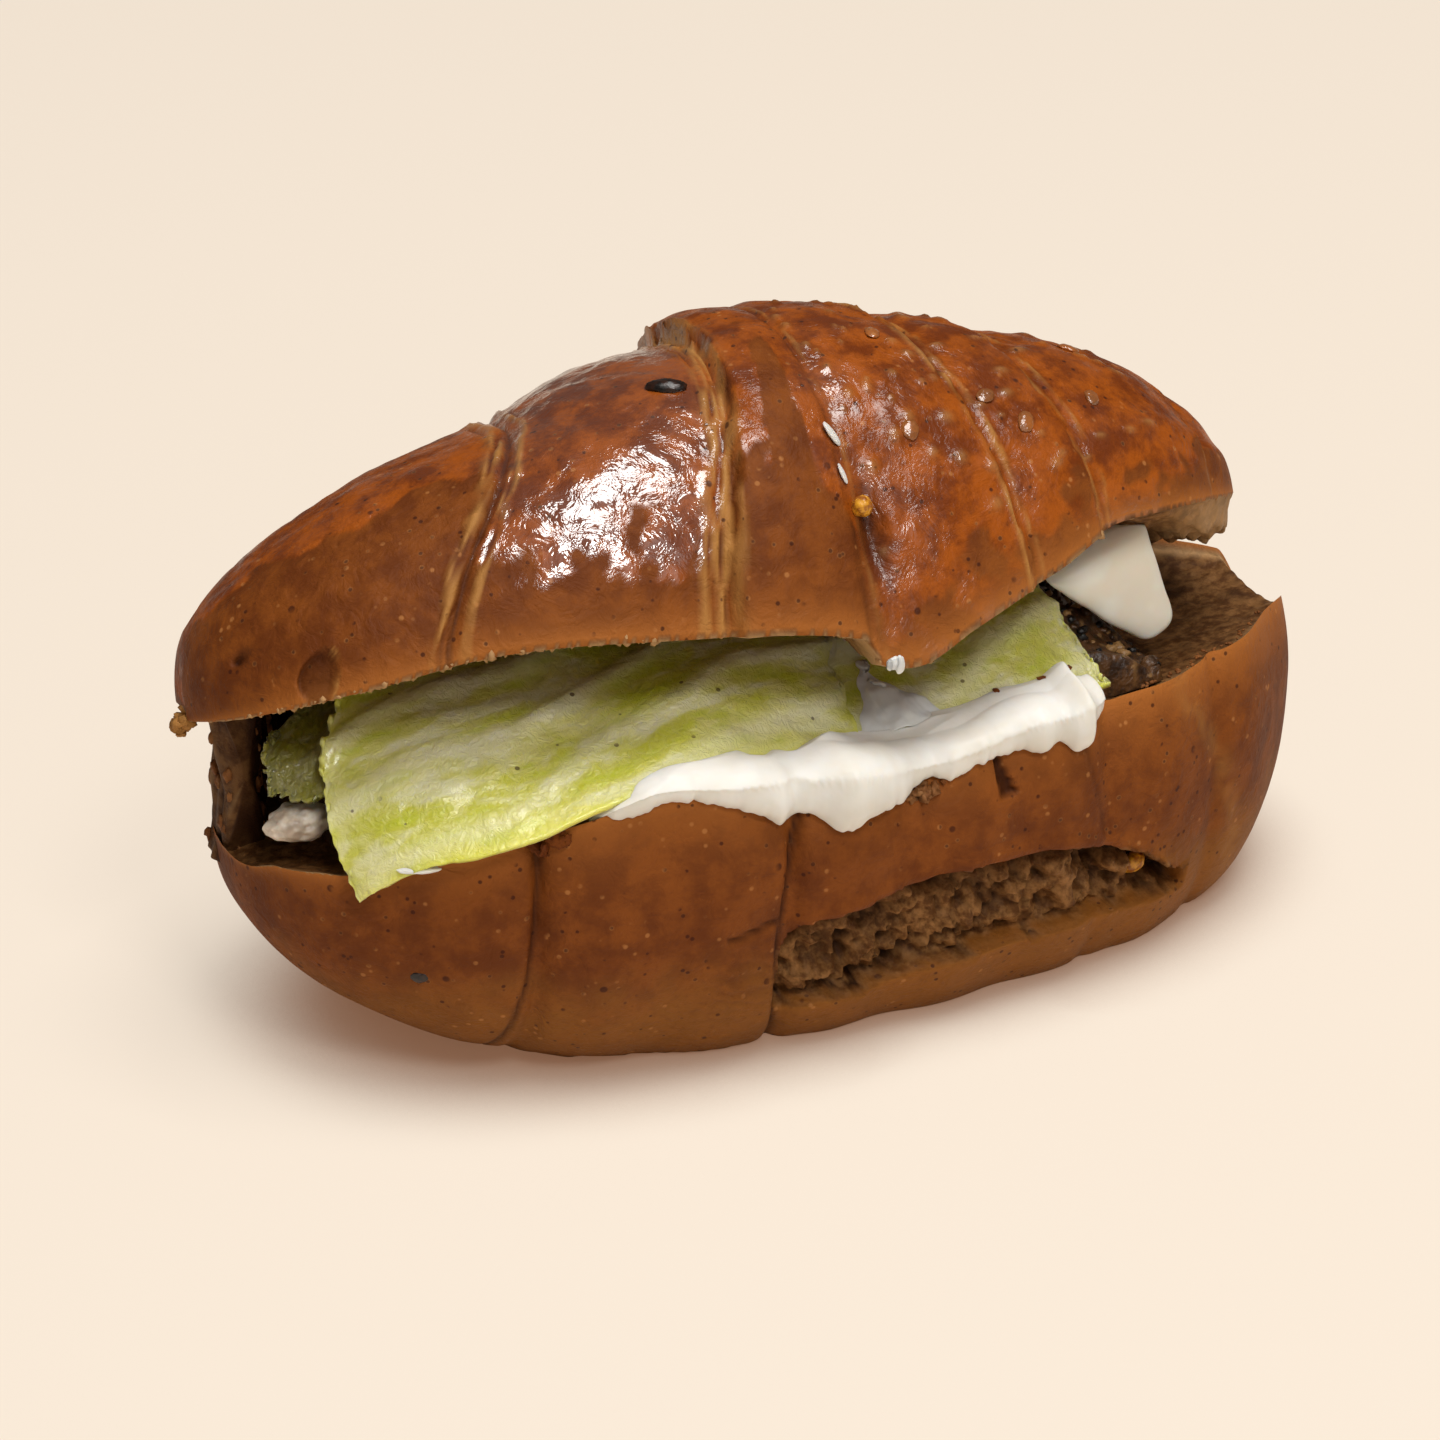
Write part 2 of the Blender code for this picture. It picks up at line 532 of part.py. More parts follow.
def seed_mesh(centre, size, turn):
    """A grain half sunk in the crust."""
    mesh = bmesh.new()
    bmesh.ops.create_uvsphere(mesh, u_segments=6, v_segments=4, radius=1.0)
    bmesh.ops.scale(mesh, vec=Vector(size) * MM, verts=mesh.verts)
    bmesh.ops.rotate(mesh, matrix=Matrix.Rotation(turn, 3, "Z"), verts=mesh.verts)
    bmesh.ops.translate(mesh, vec=Vector(centre) * MM, verts=mesh.verts)
    return mesh


def seeds():
    """A mesh for each grain, where it sits on the crust."""
    meshes = []
    for x, angle, size, turn in CROWN_SEEDS:
        meshes.append(seed_mesh(tip_open(*crown_skin(x, np.array([angle]))[0]), size, turn))
    for x, round_wall, size, turn in BASE_SEEDS:
        y, z = base_wall(x, np.array([round_wall]))
        meshes.append(seed_mesh((x, y[0], z[0]), size, turn))
    return meshes


def join_all(target, others):
    """One Boolean union of the target with the others, which are then removed."""
    group = bpy.data.collections.new("joined")
    bpy.context.scene.collection.children.link(group)
    for obj in others:
        group.objects.link(obj)
    union = target.modifiers.new("union", "BOOLEAN")
    union.operation, union.operand_type, union.solver = "UNION", "COLLECTION", "EXACT"
    union.collection = group
    graph = bpy.context.evaluated_depsgraph_get()
    joined = bpy.data.meshes.new_from_object(target.evaluated_get(graph))
    target.modifiers.clear()
    target.data = joined
    for obj in others:
        bpy.data.objects.remove(obj)
    bpy.data.collections.remove(group)


def main():
    for obj in list(bpy.data.objects):
        bpy.data.objects.remove(obj)
    bread()
    green = finish("lettuce", (0.45, 0.50, 0.15), 0.35)
    pale = finish("egg_white", (0.80, 0.74, 0.62), 0.35)
    front = leaf(*FRONT_LEAF, fold=0.9, bulge=4.5, rows=22, columns=8)
    right = lay_under(leaf(*RIGHT_LEAF, fold=0.5, bulge=0.0, rows=12, columns=7), front)
    left = lay_under(leaf(*LEFT_LEAF, fold=0.5, bulge=1.0, rows=8, columns=5), front)
    wedge = wedge_rings()
    for name, grids in (("lettuce_front", front), ("lettuce_right", right), ("lettuce_left", left)):
        add_object(name, closed_slab(*grids), green)
    leaves = [front[1], right[1], left[1]]
    add_object("cream", closed_slab(*cream_grids(leaves)), finish("cream", (0.88, 0.86, 0.80), 0.25))
    bed = closed_slab(*filling_grids([*leaves, np.array(wedge)]))
    add_object("filling", bed, finish("filling", (0.06, 0.035, 0.015), 0.6))
    wedge_ends = [wedge[0].mean(axis=0), wedge[-1].mean(axis=0) - [0, 0, 2]]
    add_object("egg_white_right", loft(wedge, wedge_ends), pale)
    add_object("egg_white_left", lump_mesh((-62.5, -9.5, 34.0), (4.4, 3.2, 2.3), 2.0), pale)
    for obj in bpy.data.objects:
        obj.data.transform(Matrix.Translation(-Vector(ORIGIN) * MM))


main()
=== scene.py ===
"""Looks of the filled multigrain croissant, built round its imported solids.

The sections follow the croissant as it is put together: table and light, crown, bottom half,
crumb between them, then what lies in it. Shapes are worked out in millimetres from a point
under the loaf, as the solids are, and MM and ORIGIN turn them into places in the scene.
"""

import math

import bmesh
import bpy
import numpy as np
from mathutils import Matrix, Vector, noise


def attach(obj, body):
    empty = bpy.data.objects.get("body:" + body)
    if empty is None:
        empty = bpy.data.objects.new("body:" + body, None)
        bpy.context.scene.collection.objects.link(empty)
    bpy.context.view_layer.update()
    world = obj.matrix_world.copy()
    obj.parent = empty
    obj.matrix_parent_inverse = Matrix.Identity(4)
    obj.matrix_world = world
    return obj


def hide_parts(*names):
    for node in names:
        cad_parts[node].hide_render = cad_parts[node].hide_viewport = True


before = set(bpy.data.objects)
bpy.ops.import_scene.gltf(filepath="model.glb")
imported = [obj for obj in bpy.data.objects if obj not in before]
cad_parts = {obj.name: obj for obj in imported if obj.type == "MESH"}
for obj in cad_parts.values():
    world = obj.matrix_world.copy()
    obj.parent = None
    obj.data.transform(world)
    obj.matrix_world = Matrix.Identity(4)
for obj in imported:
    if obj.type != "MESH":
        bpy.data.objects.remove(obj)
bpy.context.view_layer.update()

MM = 0.001
ORIGIN = np.array([3.2, 0.2, 0.0])


# The picture.
# A pale table without an edge in view, a wide soft lamp overhead, a smaller one that reaches
# into the mouth, a large faint one in front, and the photograph's camera at the front left.
AIM = Vector((-3.2, -0.2, 40.0)) * MM
AZIMUTH, ELEVATION = math.radians(-25.0), math.radians(27.0)
CAMERA_DISTANCE = 700.0 * MM
FOCAL_LENGTH = 135.63
PICTURE_SIZE = 1440
AIM_PIXEL = (730, 659)
TABLE_SIZE = 6.0
LAMPS = (
    ("lamp_above", Vector((0.08, -0.12, 0.98)), 1.2, 0.60, 0.54, 10.5),
    ("lamp_mouth", Vector((-0.04, -0.64, 0.77)), 1.2, 0.30, 0.26, 5.0),
    ("lamp_front", Vector((-0.10, -0.86, 0.50)), 1.4, 1.3, 0.8, 2.0),
)
WORLD_STRENGTH = 0.11
GLOW_SHARE = 0.7
SHADE_REACH = 22.0 * MM


def linear(red, green, blue):
    """A colour given as a screen shows it, 0 to 255, in the numbers that light adds up in."""
    shares = (red / 255, green / 255, blue / 255)
    return tuple(s / 12.92 if s < 0.04045 else ((s + 0.055) / 1.055) ** 2.4 for s in shares) + (1.0,)


def set_inputs(tree, made, inputs):
    """Sets or links the inputs of a node."""
    for key, value in inputs.items():
        if isinstance(value, bpy.types.NodeSocket):
            tree.links.new(value, made.inputs[key])
        else:
            made.inputs[key].default_value = value


def node(tree, kind, inputs=(), **settings):
    """A node of one kind in the tree, with its settings, and each input set or linked."""
    made = tree.nodes.new(kind)
    for key, value in settings.items():
        setattr(made, key, value)
    set_inputs(tree, made, dict(inputs))
    return made


def mix_colour(tree, share, first, second):
    """The first colour where share is 0 and the second where it is 1."""
    return node(tree, "ShaderNodeMix", {0: share, 6: first, 7: second}, data_type="RGBA").outputs[2]


def stretch(tree, value, low, high, to_low=0.0, to_high=1.0):
    """The value, spread smoothly from low..high to to_low..to_high and held there."""
    settings = {"Value": value, "From Min": low, "From Max": high, "To Min": to_low, "To Max": to_high}
    return node(tree, "ShaderNodeMapRange", settings, interpolation_type="SMOOTHSTEP").outputs["Result"]


def maths(tree, operation, first, second):
    """One sum on two values."""
    return node(tree, "ShaderNodeMath", {0: first, 1: second}, operation=operation).outputs[0]


def new_material(name):
    """An empty node material, and its Principled shader."""
    material = bpy.data.materials.new(name)
    material.use_nodes = True
    return material, material.node_tree, material.node_tree.nodes["Principled BSDF"]


def add_piece(name, mesh, material):
    """Turns a bmesh into an object in the scene, smoothly shaded."""
    data = bpy.data.meshes.new(name)
    mesh.to_mesh(data)
    mesh.free()
    data.shade_smooth()
    data.materials.append(material)
    piece = bpy.data.objects.new(name, data)
    bpy.context.scene.collection.objects.link(piece)
    return piece


table_mesh = bmesh.new()
bmesh.ops.create_grid(table_mesh, x_segments=1, y_segments=1, size=TABLE_SIZE / 2)
table_finish, tree, shader = new_material("table")
set_inputs(tree, shader, {"Base Color": linear(243, 229, 212), "Roughness": 0.9, "Specular IOR Level": 0.0})
# For the camera the table partly glows, and the glow darkens towards the loaf by ambient occlusion: a
# painted contact shadow.
seen = node(tree, "ShaderNodeLightPath").outputs["Is Camera Ray"]
open_sky = node(tree, "ShaderNodeAmbientOcclusion", {"Distance": SHADE_REACH}).outputs["AO"]
lit = stretch(tree, open_sky, 0.22, 0.84)
painted_shadow_tone = mix_colour(tree, lit, linear(146, 104, 78), linear(250, 235, 217))
glow = node(tree, "ShaderNodeEmission", {"Color": painted_shadow_tone})
share = maths(tree, "MULTIPLY", seen, GLOW_SHARE)
blend = node(tree, "ShaderNodeMixShader", {0: share, 1: shader.outputs[0], 2: glow.outputs[0]})
tree.links.new(blend.outputs[0], tree.nodes["Material Output"].inputs["Surface"])
table = add_piece("table", table_mesh, table_finish)

back = Vector((
    math.sin(AZIMUTH) * math.cos(ELEVATION), -math.cos(AZIMUTH) * math.cos(ELEVATION), math.sin(ELEVATION),
))
right = Vector((math.cos(AZIMUTH), math.sin(AZIMUTH), 0.0))
camera_data = bpy.data.cameras.new("camera")
camera_data.lens = FOCAL_LENGTH
camera_data.clip_start = 0.05
camera_data.shift_x = (PICTURE_SIZE / 2 - AIM_PIXEL[0]) / PICTURE_SIZE
camera_data.shift_y = (AIM_PIXEL[1] - PICTURE_SIZE / 2) / PICTURE_SIZE
camera = bpy.data.objects.new("camera", camera_data)
turn = Matrix((right, back.cross(right), back)).transposed().to_4x4()
camera.matrix_world = Matrix.Translation(AIM + back * CAMERA_DISTANCE) @ turn
bpy.context.scene.collection.objects.link(camera)
bpy.context.scene.camera = camera

for name, way, distance, width, length, power in LAMPS:
    lamp_data = bpy.data.lights.new(name, "AREA")
    lamp_data.shape = "RECTANGLE"
    lamp_data.size, lamp_data.size_y = width, length
    lamp_data.energy = power
    lamp_data.color = (1.0, 0.985, 0.96)
    lamp = bpy.data.objects.new(name, lamp_data)
    way.normalize()
    aimed = way.to_track_quat("Z", "Y").to_matrix().to_4x4()
    lamp.matrix_world = Matrix.Translation(AIM + way * distance) @ aimed
    bpy.context.scene.collection.objects.link(lamp)

world = bpy.data.worlds.new("studio")
world.use_nodes = True
world.node_tree.nodes["Background"].inputs["Color"].default_value = (1.0, 0.96, 0.92, 1.0)
world.node_tree.nodes["Background"].inputs["Strength"].default_value = WORLD_STRENGTH
bpy.context.scene.world = world
bpy.context.scene.view_settings.view_transform = "Standard"


# The crown.
# The top of a rolled croissant, cut free at the front and tipped open: layers of dough that
# overlap as ridges, an egg-washed dark crust, and pale crumb where the knife went through.
CROWN_LEFT, CROWN_RIGHT = -73.3, 72.5
CROWN_HALF_WIDTH = 33.0
CROWN_HEIGHT = 31.5
CROWN_BLUNTNESS = 2.3
HINGE_Y, HINGE_Z = 31.0, 36.6
OPEN_ANGLE = math.radians(22.0)
ROLL_EDGES = (-48.0, -13.0, 4.0, 28.0, 40.0, 62.0)
ROLL_LEVELS = (1.4, 1.2, 4.2, 4.2, 2.8, 1.4, 0.0)
ROLL_PUFF = 0.9
UNEVENNESS = 0.5
CROWN_ROWS, CROWN_COLUMNS = 400, 240
CRUST_SHARE = 0.76


def clamp(x):
    """The values of x, held between 0 and 1."""
    return np.clip(x, 0, 1)


def curve(*pairs):
    """A smooth curve, with no overshoot, through a few (position, value) pairs."""
    at, value = np.array(pairs, float).T
    step = np.diff(value) / np.diff(at)
    slope = np.zeros(len(at))
    turns = step[:-1] * step[1:] <= 0
    total = np.where(turns, 1.0, step[:-1] + step[1:])
    slope[1:-1] = np.where(turns, 0.0, 2 * step[:-1] * step[1:] / total)

    def read(x):
        x = np.asarray(x, float)
        i = np.clip(np.searchsorted(at, x) - 1, 0, len(at) - 2)
        width = at[i + 1] - at[i]
        t = clamp((x - at[i]) / width)
        rise = t * t * (3 - 2 * t)
        bend = t * (1 - t) * ((1 - t) * slope[i] - t * slope[i + 1])
        return value[i] + rise * (value[i + 1] - value[i]) + width * bend

    return read


def points(x, y, z):
    """Points, one to a row, from their three coordinates."""
    return np.stack([x, y, z], axis=-1)


def smooth_step(low, high, x):
    """0 below low, 1 above high, and a smooth rise between."""
    t = clamp((x - low) / (high - low))
    return t * t * (3 - 2 * t)


def lumps(places, size, seed=0.0):
    """Smooth noise from -1 to 1 at each point, with bumps of about the given size in millimetres."""
    shift = Vector((seed, seed * 1.7, -seed))
    return np.array([noise.noise(Vector(place) / size + shift) for place in places])


def share_of_width(x, left, right, power):
    """How wide a blunt-ended loaf is at x, as a share of its full width."""
    t = np.clip((2 * x - left - right) / (right - left), -1, 1)
    return (1 - abs(t) ** power) ** 0.47


def band(off, width):
    """1 where off is 0, falling smoothly to 0 well beyond the width."""
    return np.exp(-((off / width) ** 2))


def along_loaf(u, left, right):
    """Places from left to right for u from 0 to 1, closer together towards both ends."""
    return (left + right) / 2 + (right - left) / 2 * np.sin((u - 0.5) * math.pi)


def spot(x, y, at_x, at_y, wide, high):
    """1 in the middle of an oval spot, falling smoothly to 0 well outside it."""
    return np.exp(-(((x - at_x) / wide) ** 2) - ((y - at_y) / high) ** 2)


LIP_SAG = curve(
    (-77, -2.0), (-58, 0.0), (-42, 1.6), (-19, -0.7), (3.0, -4.8), (5.0, -8.6), (9, -9.4),
    (18, -6.3), (31, -2.0), (45, 2.3), (57, 2.0), (76, 0.5),
)
CRUMB_HANG = curve((46, 0.0), (56, 1.8), (64, 4.6), (70, 4.4), (72.5, 2.5))
ROLL_SLANT = curve(
    (-73.3, 0.0), (-66, 6.0), (-48, 20.0), (-13, 11.0), (4, 3.0), (28, -6.0), (40, -5.5), (72, 0.0),
)


def crown_half(x):
    """Half the crown's width at x."""
    return CROWN_HALF_WIDTH * share_of_width(x, CROWN_LEFT, CROWN_RIGHT, CROWN_BLUNTNESS)


def tip_open(x, y, z):
    """Turns points of the crown's own flat frame up about the hinge line."""
    out, lift = HINGE_Y - y, z
    cos, sin = math.cos(OPEN_ANGLE), math.sin(OPEN_ANGLE)
    return points(x, HINGE_Y - out * cos + lift * sin, HINGE_Z + out * sin + lift * cos)


def roll_relief(x):
    """How far the layers of dough stand out at x: a step at each edge, and a swell between edges."""
    relief = np.full_like(x, ROLL_LEVELS[0])
    for edge, before, after in zip(ROLL_EDGES, ROLL_LEVELS, ROLL_LEVELS[1:]):
        relief += (after - before) * smooth_step(edge - 0.6, edge + 0.6, x)
    ends = (CROWN_LEFT, *ROLL_EDGES, CROWN_RIGHT)
    for near, far in zip(ends, ends[1:]):
        relief += ROLL_PUFF * np.sin(clamp((x - near) / (far - near)) * math.pi) ** 0.6
    return relief


def crown_under(x, y):
    """Height of the crown's cut face, in its own flat frame."""
    half = crown_half(x) + 1e-6
    front = clamp(-y / half)
    behind = clamp(y / half)
    crumb = CRUMB_HANG(x) * smooth_step(0.0, 3.5, half - np.abs(y))
    return LIP_SAG(x) * (0.25 + 0.75 * front**2) * (1 - behind**2) - crumb


def crown_floor(x, y):
    """Height of the crown's cut face above the table, once it is tipped open."""
    out = (HINGE_Y - y) / math.cos(OPEN_ANGLE)
    return HINGE_Z + out * math.sin(OPEN_ANGLE) + crown_under(x, HINGE_Y - out) / math.cos(OPEN_ANGLE)


def crown_skin(x, angle, proud=0.0, stray=0.0):
    """The crown's crust at x, from its front lip (angle 0) over the top to its back (angle pi)."""
    half = crown_half(x)
    relief = roll_relief(x + stray) * np.minimum(1.0, half / CROWN_HALF_WIDTH * 1.5) + proud
    fullness = np.where(x < (CROWN_LEFT + CROWN_RIGHT) / 2, 2.6, 2.1)
    height = CROWN_HEIGHT * share_of_width(x, CROWN_LEFT, CROWN_RIGHT, fullness) + relief
    y = -np.sign(np.cos(angle)) * np.abs(np.cos(angle)) ** 0.88 * (half + relief * 0.8)
    z = height * np.sin(angle) ** 0.82
    past_top = clamp(2 * angle / math.pi - 1)
    slant = ROLL_SLANT(x) * np.where(past_top > 0, (1 + past_top) * (1 - past_top**3), np.sin(angle) ** 1.3)
    lip = crown_under(x, y) * (1 - np.sin(angle))
    places = points(x + slant, y, z + lip)
    swell = 1 + UNEVENNESS / 30.0 * lumps(places, 14.0, 2.0) * np.sin(angle)
    return places * points(np.ones_like(y), swell, swell)


draw = np.random.default_rng(7)
SESAME_BUMPS = [(draw.uniform(6, 58), draw.uniform(0.25, 1.5), draw.uniform(0.6, 1.3)) for _ in range(70)]
GLAZE_EDGE = curve(
    (-73, 1.5), (-66, 1.15), (-58, 0.95), (-49, 1.0), (-47, 0.36), (-30, 0.27), (-17, 0.34), (-12, 0.55),
    (-8, 0.62), (-6, 1.1), (-2.5, 1.1), (0, 0.5), (4, 0.24), (8, 0.04), (30, 0.04), (50, 0.12), (72, 0.4),
)
GLOSS = curve(
    (-73, 0.2), (-52, 0.3), (-46, 1.0), (-20, 1.0), (-12, 0.35), (0, 0.3), (8, 0.3), (20, 0.2), (72, 0.15),
)
PALE_RIDGES = (
    (-49.7, 0.9, 0.7), (-46.2, 0.7, 0.7), (-14.8, 2.6, 0.8), (5.0, 0.4, 0.35), (27.2, 0.5, 0.8),
    (29.3, 0.4, 0.65), (40.4, 0.4, 0.65), (42.2, 0.3, 0.45), (62.0, 0.5, 0.4),
)
CREASE_LINES = ((-48.0, 0.4, 0.8), (3.4, 0.30, 0.6), (28.3, 0.2, 0.45), (41.3, 0.2, 0.35))


def crown_surface(u, v):
    """Places and finishes over the crown: u runs along it, v over the crust and back along the cut."""
    x = along_loaf(u, CROWN_LEFT, CROWN_RIGHT)
    over = clamp(v / CRUST_SHARE)
    angle = math.pi * (0.78 * over + 0.22 * over**2)
    crust = crown_skin(x, angle)
    coarse = lumps(crust, 6.0, 3.0)
    fine = lumps(crust, 2.2, 5.0)
    streaks = lumps(points(x * 1.1, angle * 4, 0 * x), 1.0, 2.0)
    strands = lumps(points(x * 1.5 + 0.8 * coarse, angle * 5, 0 * x), 1.0, 6.0)
    stray = 0.9 * coarse + 0.5 * fine
    glaze = smooth_step(-0.05, 0.05, angle - GLAZE_EDGE(x) + 0.26 * coarse + 0.16 * fine)
    wet = clamp(GLOSS(x) + 0.35 * coarse + 0.4 * spot(x, angle, 4.0, 0.85, 5.0, 0.22)) * glaze
    glaze *= 1 - smooth_step(2.55, 2.9, angle)
    wet *= 1 - smooth_step(2.0, 2.6, angle)
    flaky = np.zeros_like(x)
    for at, width, depth in PALE_RIDGES:
        flaky = np.maximum(flaky, depth * np.exp(-(((x - at + 0.7 * coarse + 0.4 * fine) / width) ** 4)))
    crevice = flaky * smooth_step(0.15, 0.55, -strands)
    flaky = flaky * np.clip(0.55 + 0.8 * streaks + 1.7 * strands, 0, 1.2)
    crease = np.zeros_like(x)
    for at, width, depth in CREASE_LINES:
        crease = np.maximum(crease, depth * band(x - at + 0.3 * coarse, width))
    sesame = np.zeros_like(x)
    for at_x, at_angle, wide in SESAME_BUMPS:
        sesame = np.maximum(sesame, spot(x, angle, at_x, at_angle, wide, wide / 45))
    proud = 0.30 * coarse * glaze + 0.12 * fine * (0.4 + glaze) + 0.5 * sesame
    proud += 0.55 * flaky - 0.7 * crease - 0.5 * crevice
    flaky = np.maximum(flaky, 0.5 * sesame**2)
    wet = np.maximum(wet, 0.7 * sesame * glaze)
    pit = spot(x, angle, 6.4, 0.34, 1.9, 0.13)
    around_burst = np.hypot((x + 62.6 + 0.3 * coarse) / 2.1, (angle - 0.10) / 0.13)
    burst = smooth_step(1.0, 0.8, around_burst)
    torn_skin = band(around_burst - 1.0, 0.07) * (x > -62.5)
    flaky = np.maximum(flaky, 0.7 * torn_skin * smooth_step(-0.4, 0.3, strands + fine))
    hole = spot(x, angle, -69.5, 0.45, 0.55, 0.06)
    proud -= 2.4 * pit + 2.0 * hole + 1.6 * burst
    proud *= smooth_step(0.0, 0.06, angle)
    crust = crown_skin(x, angle, proud, stray * smooth_step(0.0, 0.1, angle))
    along = clamp((v - CRUST_SHARE) / (1 - CRUST_SHARE))
    back_y = crown_skin(x, np.full_like(x, math.pi))[:, 1]
    lip_y = crown_skin(x, np.zeros_like(x))[:, 1]
    cut_y = back_y + (lip_y - back_y) * along
    cut = points(x, cut_y, crown_under(x, cut_y))
    inner = np.sin(along * math.pi) ** 0.3
    torn_end = 1 + 2.2 * smooth_step(48, 60, x)
    cut[:, 2] -= (0.5 * lumps(cut, 1.6, 9.0) + 0.5 * lumps(cut, 4.0, 4.0)) * inner * torn_end
    cut_mask = (v > CRUST_SHARE) * 1.0
    places = np.where(cut_mask[:, None] > 0, cut, crust)
    crust_mask = 1 - cut_mask
    # A painted highlight along the crust's edge at the cut, where its rounding would catch the light.
    lip = np.exp(-angle / 0.05)
    deep = np.where(cut_mask > 0, smooth_step(0.1, 0.9, lumps(cut, 1.6, 9.0) + lumps(cut, 4.0, 4.0)), 0)
    fresh = 0.6 * smooth_step(0.88, 0.99, along) * (x < 40)
    fresh += 0.45 * smooth_step(50, 62, x) * smooth_step(0.3, 0.8, along)
    finishes = {
        "glaze": glaze * crust_mask, "wet": wet * crust_mask, "flaky": clamp(flaky) * crust_mask,
        # Painted shade: darker in the creases, crevices, pit, hole and burst.
        "dark": clamp(crease + 0.7 * crevice + 0.9 * pit + hole + 0.6 * burst) * crust_mask,
        "rim": lip * crust_mask,
        "crumb": cut_mask, "deep": deep, "fresh": fresh * cut_mask,
    }
    return tip_open(*places.T), finishes


def shaped_grid(rows, columns, surface):
    """A fine mesh from a flat grid, moved to surface(u, v) and closed where its edges then meet."""
    mesh = bmesh.new()
    bmesh.ops.create_grid(mesh, x_segments=rows, y_segments=columns, size=0.5)
    u, v = np.array([(vertex.co.x + 0.5, vertex.co.y + 0.5) for vertex in mesh.verts]).T
    places, finishes = surface(clamp(u), clamp(v))
    for vertex, place in zip(mesh.verts, (places - ORIGIN) * MM):
        vertex.co = place
    for name, values in finishes.items():
        layer = mesh.verts.layers.float.new(name)
        for vertex, value in zip(mesh.verts, values):
            vertex[layer] = value
    bmesh.ops.remove_doubles(mesh, verts=mesh.verts, dist=0.01 * MM)
    if mesh.calc_volume(signed=True) < 0:
        bmesh.ops.reverse_faces(mesh, faces=mesh.faces)
    return mesh


def mask(tree, name):
    """The value of one of the piece's own attributes."""
    return node(tree, "ShaderNodeAttribute", attribute_name=name).outputs["Fac"]


def noise_value(tree, size, detail=3.0, roughness=0.5, warp=0.0):
    """Cloudy noise over the piece, with features of about the given size in millimetres."""
    where = node(tree, "ShaderNodeTexCoord").outputs["Object"]
    settings = {
        "Vector": where, "Scale": 1.0 / (size * MM), "Detail": detail, "Roughness": roughness,
        "Distortion": warp,
    }
    return node(tree, "ShaderNodeTexNoise", settings).outputs["Fac"]


def cell_distance(tree, size):
    """Distance to the middle of round cells of about the given size in millimetres."""
    where = node(tree, "ShaderNodeTexCoord").outputs["Object"]
    settings = {"Vector": where, "Scale": 1.0 / (size * MM), "Randomness": 1.0}
    return node(tree, "ShaderNodeTexVoronoi", settings, feature="F1").outputs["Distance"]


def clouds(tree, size, detail, roughness, first, second, low=0.38, high=0.62):
    """Two tones that take turns in clouds of about the given size in millimetres."""
    share = stretch(tree, noise_value(tree, size, detail, roughness), low, high)
    return mix_colour(tree, share, linear(*first), linear(*second))


def cover(tree, tone, share, strength, colour):
    """The tone, covered by a colour as far as share and strength say."""
    return mix_colour(tree, maths(tree, "MULTIPLY", share, strength), tone, linear(*colour))


def scattered(tree, cell, low, high, patch, patch_low, patch_high):
    """Round specks, one to a cell at most, gathered in patches; both sizes are in millimetres."""
    specks = stretch(tree, cell_distance(tree, cell), high, low)
    return maths(tree, "MULTIPLY", specks, stretch(tree, noise_value(tree, patch), patch_low, patch_high))


def roughened(tree, height, strength, depth):
    """The surface's normal, made uneven by a height up to about depth millimetres."""
    settings = {"Height": height, "Strength": strength, "Distance": depth * MM}
    return node(tree, "ShaderNodeBump", settings).outputs["Normal"]


def new_group(name, inputs, outputs):
    """An effect for several materials: a group with named number inputs and outputs."""
    group = bpy.data.node_groups.new(name, "ShaderNodeTree")
    for label, default in inputs.items():
        socket = group.interface.new_socket(label, in_out="INPUT", socket_type="NodeSocketFloat")
        socket.default_value = default
    for label in outputs:
        group.interface.new_socket(label, in_out="OUTPUT", socket_type="NodeSocketFloat")
    return group, node(group, "NodeGroupInput"), node(group, "NodeGroupOutput")


bran, _, bran_out = new_group("bran_specks", {}, ("Dark", "Pale"))
small_specks = scattered(bran, 1.7, 0.12, 0.22, 3.0, 0.46, 0.56)
large_specks = scattered(bran, 6.3, 0.06, 0.10, 8.0, 0.48, 0.55)
set_inputs(bran, bran_out, {
    "Dark": maths(bran, "MAXIMUM", small_specks, large_specks),
    "Pale": scattered(bran, 1.7, 0.12, 0.26, 4.0, 0.48, 0.60),
})

crinkle, crinkle_in, crinkle_out = new_group("crinkle", {"Fine": 1.0}, ("Height",))
swell = maths(crinkle, "SUBTRACT", noise_value(crinkle, 3.4, 4.0, 0.6, 0.5), 0.5)
folds = maths(crinkle, "ABSOLUTE", swell, 0.0)
grain = noise_value(crinkle, 0.6, 2.0, 0.6)
set_inputs(crinkle, crinkle_out, {
    "Height": maths(crinkle, "ADD", folds, maths(crinkle, "MULTIPLY", grain, crinkle_in.outputs["Fine"])),
})

